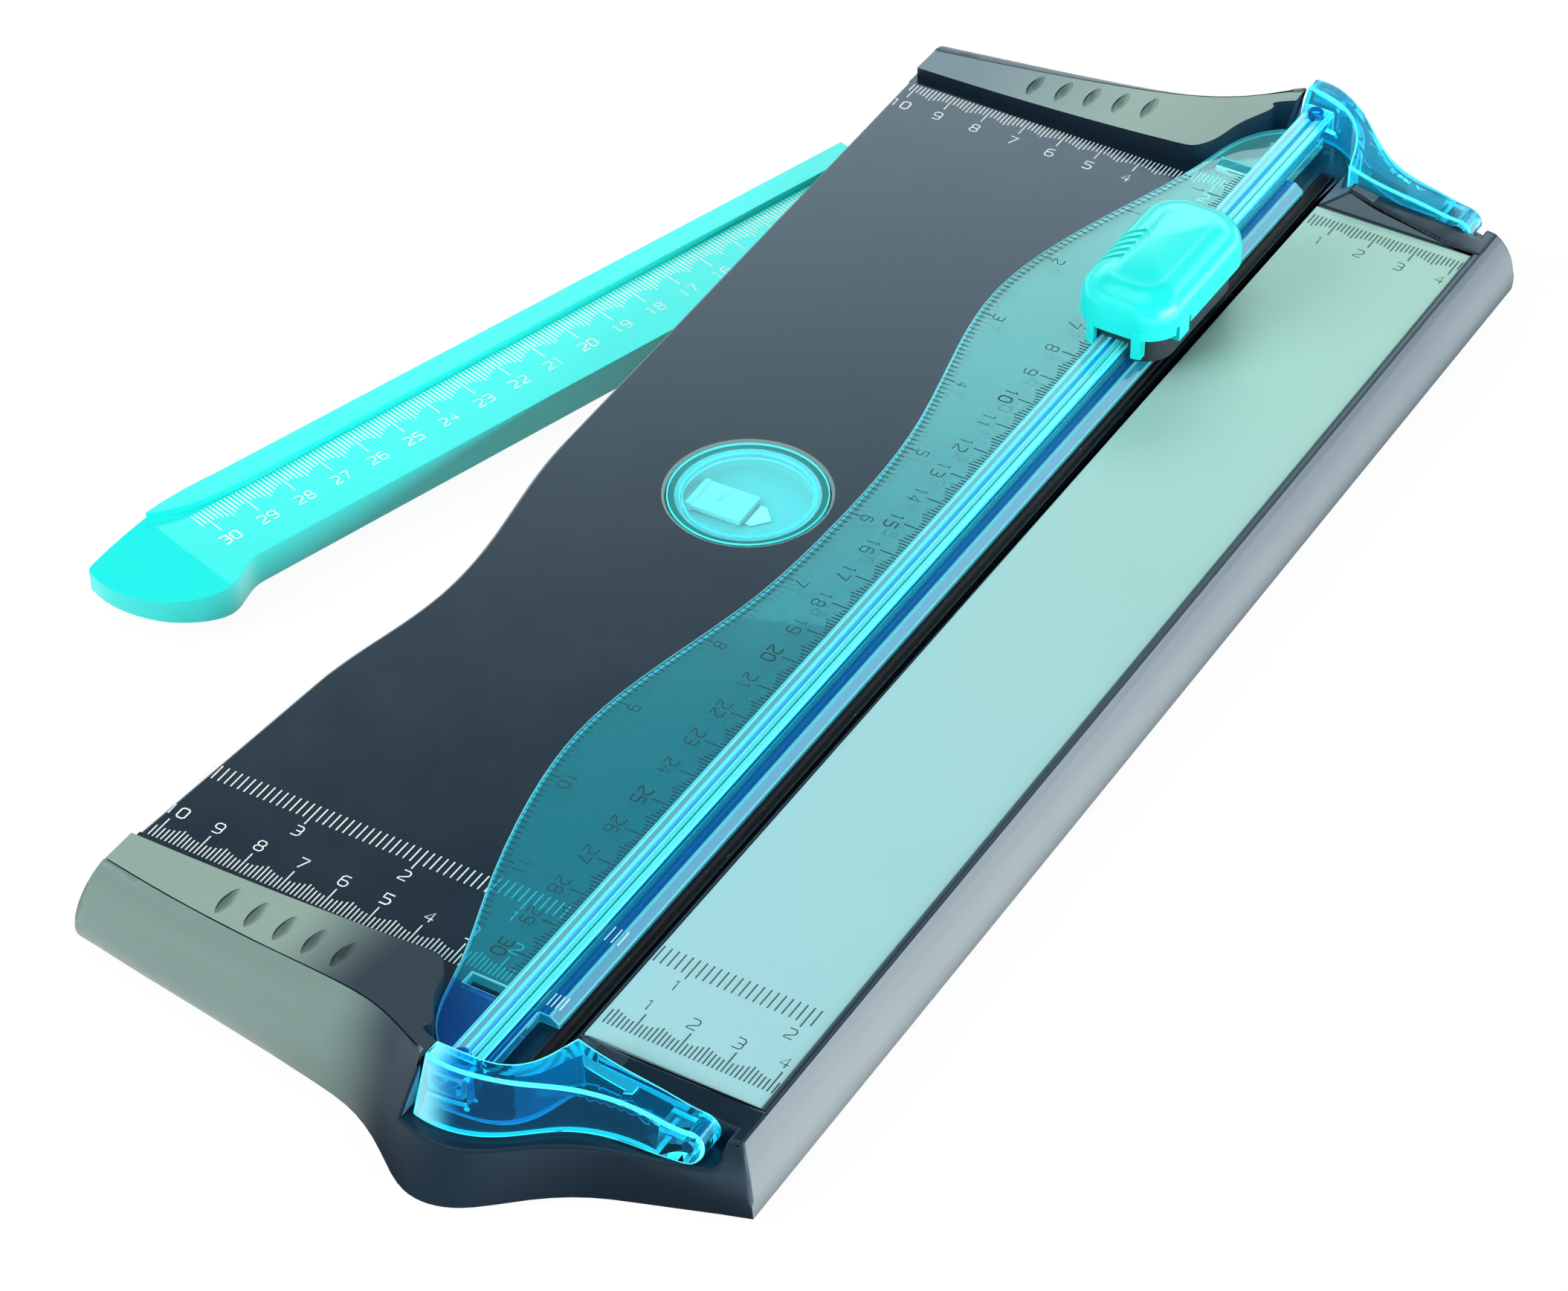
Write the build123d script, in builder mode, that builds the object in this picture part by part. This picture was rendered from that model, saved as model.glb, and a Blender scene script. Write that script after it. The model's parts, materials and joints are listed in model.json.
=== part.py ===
"""Desk paper trimmer: a base with a swing-out ruler, and a hinged clear rail with a sliding cutter.

X runs across the cut, with 0 on the cutting line and the pale side panel at +X. Y runs along the
cut, with 0 at the middle of the base and the front at -Y. Z is up from the desk. Millimetres.
"""

import os
from math import cos, radians, sin, sqrt

from build123d import *

os.makedirs("parts", exist_ok=True)

# Clearances
RUN = 0.05  # radial, shaft in a hole that turns
SEAT = 0.1  # between pieces that stay together
SLIDE = 0.35  # between pieces that slide past each other
SEAM = 0.35  # visible seam round a cover
SWING = 0.8  # round pieces that lift or swing past the base
OVERRUN = 1.0  # how far a cut or a joined solid runs past the face it meets
PRESSED = 0.02  # radial, shaft that is pressed into its hole

# Base
FOOT_DROP = 1.0  # height of the base's rim above the desk
BASE_HEIGHT = 15.0  # from the rim to the deck surface
DECK_Z = FOOT_DROP + BASE_HEIGHT
DECK_WALL = 2.2
UNDER_DECK_Z = DECK_Z - DECK_WALL
SKIRT_WALL = 2.4
STOP_Y = 155.7  # the paper stops, from the middle
END_LAP = 3.0  # how far the end blocks run in under the deck
END_INNER_Y = STOP_Y - END_LAP
CUT_Y = STOP_Y - 36.0  # where cuts over the deck begin
LEFT_X = -105.2  # left end of the end blocks, at the rim
LEFT_LEAN = 2.3  # how far that end leans in by the deck
BELLY_Z = 8.0  # height of the skirt's belly
HIGH = 60.0  # taller than anything on the base
WIDE = 230.0  # longer than half the base
BESIDE = 9.0  # how far outside the left end its cuts begin

# Left edge of the deck: straight ends with a waist where the fingers reach the ruler
EDGE_FAR = (LEFT_X + LEFT_LEAN, END_INNER_Y + OVERRUN)
EDGE_MID = (-98.4, -6.0)
EDGE_WAIST = (-92.6, -56.5)
EDGE_LOW = (-98.8, -98.0)
EDGE_NEAR = (LEFT_X + LEFT_LEAN, -END_INNER_Y - OVERRUN)
EDGE_ROLL = 0.7

# Grip: its top rises from the left end to the arm, more along the seam than along the paper stop
GRIP_LOW = 2.3
GRIP_RISE = 8.0
GRIP_STOP_RISE = 4.6
GRIP_RUN = 94.0
GRIP_START_X = LEFT_X - 0.8
GRIP_POWER = 2.2


def grip_top(x, rise=GRIP_RISE):
    """Height of the grip's top at x, along the seam or along a line with another rise."""
    share = max(x - GRIP_START_X, 0.0) / GRIP_RUN
    return DECK_Z + GRIP_LOW + rise * share**GRIP_POWER


SIDE_LIP = 0.4  # the side wall stands this far above the panel
# Stations of an end block: x, reach of the foot, of the belly and of the seam, height of the seam
STATIONS = (
    (LEFT_X, 170.6, 173.3, 164.0, grip_top(LEFT_X)),
    (-84.0, 173.9, 176.4, 167.2, grip_top(-84.0)),
    (-64.0, 176.9, 178.9, 169.7, grip_top(-64.0)),
    (-43.0, 180.3, 181.4, 172.3, grip_top(-43.0)),
    (-31.0, 183.5, 183.4, 175.1, grip_top(-31.0)),
    (-20.0, 190.2, 188.2, 180.3, grip_top(-20.0)),
    (-13.0, 194.8, 191.4, 184.0, grip_top(-13.0)),
    (-7.0, 195.7, 192.0, 185.4, DECK_Z + 9.8),
    (-1.0, 193.4, 189.9, 184.0, DECK_Z + 8.2),
    (5.0, 188.6, 185.6, 180.4, DECK_Z + 5.8),
    (12.0, 182.7, 180.4, 176.0, DECK_Z + 3.4),
    (20.0, 178.2, 176.8, 172.4, DECK_Z + 2.4),
    (31.0, 174.1, 173.9, 169.0, DECK_Z + 1.4),
    (41.0, 170.4, 170.7, 166.0, DECK_Z + SIDE_LIP),
    (49.5, 167.6, 168.0, 163.4, DECK_Z + SIDE_LIP),
)
SECTION_COUNT = 16

# Right side wall and pale panel
SIDE_FOOT_X = 47.2
SIDE_BELLY = (46.6, 9.0)
SIDE_TOP_X = 43.5
SIDE_THIN = 1.6  # how much thinner the wall is at its top
SIDE_Y = 162.0
PANEL_X = (2.6, 41.5)
PANEL_THICK = 1.2

# Cutting mat
MAT_X = (-1.5, 1.2)
MAT_Y = 167.5
MAT_SINK = 1.2
MAT_PROUD = 0.25
GROOVE_WIDTH = 1.2
GROOVE_DEEP = 1.1

# Clear hold-down plate
PLATE_GAP = 0.3
PLATE_THICK = 2.7
PLATE_Z = DECK_Z + PLATE_GAP
PLATE_TOP_Z = PLATE_Z + PLATE_THICK
PLATE_RIGHT_X = -1.6
PLATE_BEVEL = (1.5, 1.9)
PLATE_BAR_Y = 157.6
PLATE_NECK_X = -13.2
PLATE_END_Y = 177.0
PLATE_WAVE = (
    (-16.0, 175.6),
    (-22.3, 168.0),
    (-26.0, 154.0),
    (-32.6, 132.0),
    (-39.8, 108.5),
    (-42.9, 86.0),
    (-39.6, 61.5),
    (-33.9, 34.0),
    (-32.1, -2.0),
    (-34.3, -34.0),
    (-39.6, -60.0),
    (-42.9, -86.0),
    (-39.8, -111.0),
    (-32.6, -136.0),
    (-26.0, -155.5),
    (-22.3, -168.0),
    (-16.0, -175.6),
)
SLOT_X = (-22.7, -13.4)
SLOT_Y = 156.6
SLOT_WIDTH = 3.0

# Rail: a head on a narrower web
RAIL_X = -9.25
RAIL_HALF = 3.25
RAIL_WEB_HALF = 2.2
RAIL_HEAD_Z = PLATE_TOP_Z + 1.7
RAIL_TOP_Z = PLATE_TOP_Z + 4.15
RAIL_GROOVE = 0.7
RAIL_END_Y = 183.0
PEG_R = 1.9
PEG_Y = 178.6
PEG_DEEP = 2.4
PEG_PROUD = 1.6

# Hinged arms
HINGE_X = 34.5
HINGE_Z = DECK_Z - 0.8
HINGE_R = 3.3
POCKET_END = 2.6  # room beyond the hinge end of an arm
POCKET_ROUND = 2.2
BLOCK_SLOPE = 3.6  # height and run of the hinge block's slope beside the panel
BLOCK_RAMP_X = (3.0, 8.6)  # where the block rises out of the deck
PIN_R = 1.25
PIN_Y = (156.8, 170.2)
ARM_FOOT_Z = HINGE_Z - HINGE_R
ARM_FLOOR_Z = ARM_FOOT_Z - 0.4
ARM_TALL = 15.0  # height over the deck of the plane where an arm's lean is given
ARM_TALL_Z = DECK_Z + ARM_TALL
ARM_INNER_Y = 163.4
ARM_WALL = 1.8
ARM_CURL = ((6.6, ARM_INNER_Y), (4.8, 170.0), (2.4, 175.4), (-1.2, 178.9), (-6.6, 180.6))
ARM_LEFT_X = (-16.0, -12.2)  # at the foot and at the top plane
ARM_CORNER_Y = 181.2
ARM_OUTER = (
    (-15.4, 186.5, 1.4),
    (-9.0, 187.2, 1.6),
    (-2.2, 185.6, 1.8),
    (3.5, 182.2, 2.2),
    (10.4, 176.8, 2.8),
    (18.8, 173.6, 4.0),
    (28.6, 172.8, 5.6),
    (HINGE_X + HINGE_R, 171.6, 6.0),
)
ARM_TOP = (
    (HINGE_X, HINGE_Z + HINGE_R),
    (26.0, DECK_Z + 3.7),
    (17.0, DECK_Z + 5.0),
    (8.0, DECK_Z + 7.2),
    (0.0, DECK_Z + 10.2),
    (-7.0, DECK_Z + 11.9),
    (-20.0, DECK_Z + 13.2),
)
ARM_CORE_X = 28.5
ARM_END_STEP = 0.2
# Shares of a wall by which the inside of a curl follows its outside
CURL_X = 0.9
CURL_Y = 0.55
CURL_START = 0.3
CURL_END = 0.7
LUG_X = (-13.2, -4.6)
LUG_Y = (PEG_Y + PEG_R + 2 * SLIDE, 185.0)
LUG_Z = (DECK_Z + 1.6, DECK_Z + 8.7)

# Grip covers
COVER_WALL = 2.0
COVER_LEFT_GAP = 0.5
COVER_TAIL = 1.4
COVER_OUT_Y = STOP_Y + 40.0  # beyond the seam, where the top's slope is given
COVER_CORNER = (
    (-33.5, STOP_Y),
    (-29.0, 156.4),
    (-25.6, 160.4),
    (-22.7, 168.0),
    (-18.6, 175.4),
    (-13.6, 179.4),
)
COVER_END_X = -10.0
CORE_END_X = -21.0  # right of this the cover is solid
COVER_GAP_X = (-17.4, -13.2)  # its right end, at the arm's floor and at the top plane
DIMPLE_X = -74.3
DIMPLE_PITCH = 7.2
DIMPLE_COUNT = 5
DIMPLE_Y = 162.4
DIMPLE_DRIFT = 0.65
DIMPLE_HALF = 4.6
DIMPLE_SAG = 1.45
DIMPLE_LIFT = 0.2

# Slider, stored where the photograph shows it
SLIDER_Y = 97.8
CAP_X = (-20.0, 4.5)
CAP_HALF = 22.0
CAP_Z = DECK_Z + 10.8
CAP_WALL = 1.9
CAP_CORNER = 9.0
# Dome of the cap: rise over its lower edge, and how far it is drawn in there
CAP_DOME = ((0.0, 0.0), (4.6, 0.15), (7.8, 1.4), (9.4, 3.2), (10.2, 6.4))
CAP_DRAW = 0.7  # share of the draw by which the corners get smaller
CAP_TOP_Z = CAP_Z + CAP_DOME[-1][0]
CEILING_Z = CAP_TOP_Z - CAP_WALL
PRESS = 2.3
SHOE_GAP = 0.45  # between the carriage and the cap's walls
SHOE_X = (CAP_X[0] + CAP_WALL + SHOE_GAP, CAP_X[1] - CAP_WALL - SHOE_GAP)
SHOE_HALF = CAP_HALF - CAP_WALL - SHOE_GAP
SHOE_WALL = 1.2
SHOE_Z = PLATE_TOP_Z + SLIDE
SHOE_TOP_Z = CAP_Z + 1.2
SHOE_ROOF = 1.4
PRONG_Z = DECK_Z + 5.7
PRONG_X = (-14.2, -2.6)
PRONG_WIDE = 2.2
PRONG_ROOT = 2.0  # how far a prong or a tab reaches up the cap's wall
TAB_Y = -12.5  # middle of the tab on the right, from the middle of the cap
TAB_LONG = 4.6
TAB_DROP = 2.0
TAB_SLIT = 0.8
GRIP_CUT_COUNT = 5
GRIP_CUT_PITCH = 2.74
GRIP_CUT_LONG = 6.5
GRIP_CUT_R = 0.7
GRIP_CUT_TURN = 29.0
GRIP_CUT_START = (1.4, 8.3)  # in from the cap's left side and up from its lower edge
GRIP_CUT_CLIMB = 0.3
SPRING_R = 2.6
SPRING_WIRE = 0.35
SPRING_TURNS = 6

# Cutter cartridge: a plate with a thick top edge and a boss, and a steel blade
HOLDER_THICK = 1.2
HOLDER_HALF = 4.75
HOLDER_EDGE = 1.9
HOLDER_EDGE_TALL = 1.5
BOSS_R = 1.5
BOSS_LONG = 2.2
BOSS_Z = 8.5  # over the holder's lower edge
BLADE_THICK = 0.4
BLADE_HALF = 3.5
BLADE_TIP_Z = DECK_Z + 1.7
BLADE_TALL = 7.4
BLADE_SLOPE = 2.9
HOLDER_Z = DECK_Z + 5.6
RIB_THICK = 1.8
RIB_Z = HOLDER_Z + 5.0
RIB_ROOM = 0.6

# Spare cartridge tray under the round window
WINDOW = (-55.0, -0.5)
CUP_RIM = 0.7
CUP_R = 16.6
CUP_LIP = 0.9
CUP_TAPER = 2.0
CUP_FLOOR_R = CUP_R - CUP_TAPER
CUP_WALL = 1.1
CUP_FLOOR_Z = DECK_Z - 5.5
LID_R = CUP_R + CUP_LIP
LID_THICK = 1.0
RING_GAP = 0.7  # between the lid's ring and the tray's wall at the rim
RING_WALL = 0.8
RING_R = CUP_R - CUP_WALL - RING_GAP
LID_RING_DEEP = 1.6
COLLAR_WALL = 2.5
COLLAR_R = LID_R + COLLAR_WALL
COLLAR_DROP = 1.4
SPARE_TURN = 2.0
SPARE_ROOM = 9.0  # from the tray's wall to the middle of the spare cartridge
SPARE_SHIFT = 1.3
SPARE = (WINDOW[0] - CUP_FLOOR_R + SPARE_ROOM, WINDOW[1] - SPARE_SHIFT)
SPARE_BOSS = 5.0  # from the spare cartridge's thick edge
SPARE_BOSS_LONG = 1.0
SPARE_TIP = 1.4
SPARE_SEAT = 0.4

# Swing-out ruler, in its own plane: u along it from the pivot, v toward the base
PIVOT = (-82.5, 143.85)
RULER_TURN = 253.25
RULER_Z = 4.0
SCALE_Z = DECK_Z - 4.2
RIDGE_Z = DECK_Z - 2.5
RULER_WALL = 1.8
RULER_NEAR_V = 9.3
RIDGE_V = (-17.3, -11.2)
RIDGE_U = 24.0
TIP_U = 208.0
TIP_BACK = ((221.0, -17.2), (233.0, -16.4), (242.6, -14.9))
TIP_CORNER = (244.2, -14.0)
TIP = (
    (244.6, -12.2),
    (244.4, -5.0),
    (242.6, 0.6),
    (239.8, 5.6),
    (235.6, 9.9),
    (231.0, 12.7),
    (227.2, 13.4),
    (222.2, 11.4),
)
TIP_HEEL_U = 216.0
RAMP_U = (227.0, 250.0)
RAMP_DROP = 4.2
RIDGE_END = ((174.0, RIDGE_V[1]), (196.0, -10.9), (214.0, -11.8), (222.0, -13.6), (227.6, -16.4))
RULER_RIB_COUNT = 5
PIVOT_R = 4.0
HUB_BOTTOM = 0.1
WASHER_R = 8.0
WASHER_THICK = 1.0
SCREW_R = 1.25
SCREW_HEAD_R = 3.4
SCREW_HEAD = 1.5
SCREW_LONG = 7.0

# Room for the ruler under the deck
BAY_X = -66.0
BAY_Y = (-112.0, 157.4)
BAY_RIB = 2.0

# Underside
COVER_PLATE = 2.0
COVER_PLATE_Z = FOOT_DROP + COVER_PLATE
COVER_PLATE_X = (BAY_X + 0.2, SIDE_TOP_X - 0.7)
COVER_PLATE_Y = END_INNER_Y - OVERRUN
POST_R = 3.6
POSTS = ((-56.0, 100.0), (-56.0, -100.0), (36.0, 138.0), (36.0, -138.0), (36.0, 46.0), (36.0, -46.0))
FOOT_R = 5.0
FOOT_THICK = 1.9
END_FEET = ((-94.0, 165.2), (-94.0, -165.2))
PLATE_FEET = ((-56.0, 136.0), (-56.0, -136.0), (34.0, 122.0), (34.0, -122.0), (0.0, 0.0))
FOOT_POST_R = 6.4


def station(x):
    """Foot, belly, seam and top at any x, on a smooth curve through the stations."""
    last = len(STATIONS) - 1
    i = max(n for n in range(last) if n == 0 or STATIONS[n][0] <= x)
    low, high = STATIONS[i], STATIONS[i + 1]
    before, after = STATIONS[max(i - 1, 0)], STATIONS[min(i + 2, last)]
    step = high[0] - low[0]
    share = (x - low[0]) / step
    row = []
    for a, b, c, d in zip(before[1:], low[1:], high[1:], after[1:]):
        rise_b = (c - a) / (high[0] - before[0]) * step
        rise_c = (d - b) / (after[0] - low[0]) * step
        bend = 2 * (b - c) + rise_b + rise_c
        row.append(b + share * (rise_b + share * (3 * (c - b) - 2 * rise_b - rise_c + share * bend)))
    return row


def spaced(low, high, count):
    """Evenly spaced values from low to high."""
    return [low + n * (high - low) / (count - 1) for n in range(count)]


def skirt_reach(foot, belly, seam, top, height):
    """Reach of the skirt's arc at a height, from the circle through its foot, belly and seam."""
    a2, b2, c2 = foot**2 + FOOT_DROP**2, belly**2 + BELLY_Z**2, seam**2 + top**2
    area = 2 * (foot * (BELLY_Z - top) + belly * (top - FOOT_DROP) + seam * (FOOT_DROP - BELLY_Z))
    centre_y = (a2 * (BELLY_Z - top) + b2 * (top - FOOT_DROP) + c2 * (FOOT_DROP - BELLY_Z)) / area
    centre_z = (a2 * (seam - belly) + b2 * (foot - seam) + c2 * (belly - foot)) / area
    radius = sqrt((foot - centre_y) ** 2 + (FOOT_DROP - centre_z) ** 2)
    side = 1 if centre_y < belly else -1
    return centre_y + side * sqrt(radius**2 - (height - centre_z) ** 2)


def across(x):
    """Plane across the base at x: local x is Y, local y is Z."""
    return Plane(origin=(x, 0, 0), x_dir=(0, 1, 0), z_dir=(1, 0, 0))


def hollow(x, roof):
    """Section of the hollow under an end block at x, up to a roof height."""
    foot, belly, seam, top = station(x)
    with BuildSketch(across(x)) as section:
        Polygon(
            (foot - SKIRT_WALL, 0),
            (belly - SKIRT_WALL, BELLY_Z),
            (skirt_reach(foot, belly, seam, top, roof) - SKIRT_WALL, roof),
            (END_INNER_Y - OVERRUN, roof),
            (END_INNER_Y - OVERRUN, 0),
            align=None,
        )
    return section.sketch


def grip_height(x, y):
    """Height of a grip cover's top: straight across from the paper stop to the seam."""
    stop, seam = grip_top(x, GRIP_STOP_RISE), grip_top(x)
    return stop + (seam - stop) * (y - STOP_Y) / (station(x)[2] - STOP_Y)


def above_grip(y, wall):
    """Section along X, at y, of the space over a grip cover's top, or over its inside."""
    with BuildSketch(Plane.XZ.offset(-y)) as section:
        with BuildLine():
            ends = (LEFT_X - OVERRUN, COVER_END_X + OVERRUN)
            line = [(x, grip_height(x, y) - wall) for x in spaced(*ends, SECTION_COUNT // 2)]
            Spline(*line)
            Polyline(line[-1], (line[-1][0], 2 * HIGH), (line[0][0], 2 * HIGH), line[0])
        make_face()
    return section.sketch


def cap_plan(rise, draw, wall):
    """Plan of the slider's cap at a rise over its lower edge, or of its inside."""
    inset = draw + wall
    with BuildSketch(Plane.XY.offset(CAP_Z + rise)) as plan:
        with Locations(((CAP_X[0] + CAP_X[1]) / 2, SLIDER_Y)):
            wide = CAP_X[1] - CAP_X[0] - 2 * inset
            RectangleRounded(wide, 2 * (CAP_HALF - inset), CAP_CORNER - wall - CAP_DRAW * draw)
    return plan.sketch


def arm_pocket(z, left_x):
    """Plan of the space for an arm at height z: inside its curl, and open outwards."""
    with BuildSketch(Plane.XY.offset(z)) as plan:
        with BuildLine():
            start = (HINGE_X + HINGE_R + POCKET_END, ARM_INNER_Y - SLIDE)
            curl = [(x - SWING, y - SWING) for x, y in ARM_CURL[1:]]
            turn = (ARM_CURL[0][0] - SWING, ARM_INNER_Y - SLIDE)
            Line(start, turn)
            Spline(turn, *curl)
            left = (left_x, ARM_CORNER_Y - SWING)
            Polyline(curl[-1], left, (left_x, WIDE), (start[0], WIDE), start)
        make_face()
    return plan.sketch


def arm_plan(z, lean, left_x, wall, right_x):
    """Plan of an arm at height z; lean is 0 at its foot and 1 at the top plane."""
    with BuildSketch(Plane.XY.offset(z)) as plan:
        with BuildLine():
            curl = [(x + CURL_X * wall, y + CURL_Y * wall) for x, y in ARM_CURL]
            start = (curl[0][0] + CURL_START * wall, ARM_INNER_Y + wall)
            left = (left_x + wall, ARM_CORNER_Y + CURL_END * wall)
            outer = [(x, y - lean * tilt - wall) for x, y, tilt in ARM_OUTER if x < right_x]
            outer[0] = (left_x + wall, outer[0][1])
            outer.append((right_x, outer[-1][1] - ARM_END_STEP))
            Line((right_x, ARM_INNER_Y + wall), start)
            Spline(start, *curl[1:], left)
            Line(left, outer[0])
            Spline(*outer)
            Line(outer[-1], (right_x, ARM_INNER_Y + wall))
        make_face()
    return plan.sketch


# Space for an arm in the rear end block
with BuildPart() as arm_space:
    loft((arm_pocket(ARM_FLOOR_Z, COVER_GAP_X[0]), arm_pocket(ARM_TALL_Z, COVER_GAP_X[1])))
    # Rounded foot of the wall beyond the hinge
    fillet(arm_space.edges().group_by(Axis.Z)[0].filter_by(Axis.Y).sort_by(Axis.X)[-1], POCKET_ROUND)

# End block of the base, rear one
with BuildPart() as rear_end:
    for x in spaced(STATIONS[0][0], STATIONS[-1][0], SECTION_COUNT):
        foot, belly, seam, top = station(x)
        with BuildSketch(across(x)):
            with BuildLine():
                ThreePointArc((foot, FOOT_DROP), (belly, BELLY_Z), (seam, top))
                Polyline(
                    (seam, top), (END_INNER_Y, top), (END_INNER_Y, FOOT_DROP), (foot, FOOT_DROP)
                )
            make_face()
    loft()
    # Left end leans in
    with BuildSketch(Plane.XZ):
        slope = LEFT_LEAN / BASE_HEIGHT
        Polygon(
            (LEFT_X - BESIDE, 0),
            (LEFT_X - slope * FOOT_DROP, 0),
            (LEFT_X + slope * HIGH, HIGH),
            (LEFT_X - BESIDE, HIGH),
            align=None,
        )
    extrude(amount=WIDE, both=True, mode=Mode.SUBTRACT)
    # Hollow underside
    grip_xs = spaced(LEFT_X + SKIRT_WALL + LEFT_LEAN, COVER_GAP_X[0] - SKIRT_WALL, SECTION_COUNT // 2)
    loft([hollow(x, UNDER_DECK_Z) for x in grip_xs], mode=Mode.SUBTRACT)
    arm_xs = spaced(grip_xs[-1], SIDE_TOP_X, SECTION_COUNT // 2)
    loft([hollow(x, ARM_FLOOR_Z - DECK_WALL) for x in arm_xs], mode=Mode.SUBTRACT)
    # Seat of the grip cover
    with BuildSketch(Plane.XY.offset(DECK_Z)):
        with BuildLine():
            ends = (LEFT_X - OVERRUN, COVER_END_X + OVERRUN)
            seam_line = [(x, station(x)[2]) for x in spaced(*ends, SECTION_COUNT)]
            Spline(*seam_line)
            Polyline(seam_line[-1], (ends[1], CUT_Y), (ends[0], CUT_Y), seam_line[0])
        make_face()
    extrude(amount=HIGH, mode=Mode.SUBTRACT)
    # Floor beside the arm's curl, level with the deck, and the hinge block's rise out of it
    with BuildSketch(Plane.XZ.offset(-WIDE)):
        Polygon(
            (COVER_END_X, DECK_Z),
            (BLOCK_RAMP_X[0], DECK_Z),
            (BLOCK_RAMP_X[1], DECK_Z + BLOCK_SLOPE),
            (BLOCK_RAMP_X[1], HIGH),
            (COVER_END_X, HIGH),
            align=None,
        )
    extrude(amount=WIDE - CUT_Y, mode=Mode.SUBTRACT)
    # Sloped edge of the hinge block beside the panel
    with BuildSketch(across(0)):
        Polygon(
            (CUT_Y, DECK_Z),
            (STOP_Y, DECK_Z),
            (STOP_Y + BLOCK_SLOPE, DECK_Z + BLOCK_SLOPE),
            (STOP_Y + BLOCK_SLOPE, HIGH),
            (CUT_Y, HIGH),
            align=None,
        )
    extrude(amount=HIGH, mode=Mode.SUBTRACT)
    # Pocket for the arm
    add(arm_space.part, mode=Mode.SUBTRACT)
    # Hole for the hinge pin
    with BuildSketch(Plane.XZ.offset(-PIN_Y[0] + SEAT)):
        with Locations((HINGE_X, HINGE_Z)):
            Circle(PIN_R + PRESSED)
    extrude(amount=-HIGH, mode=Mode.SUBTRACT)

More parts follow.
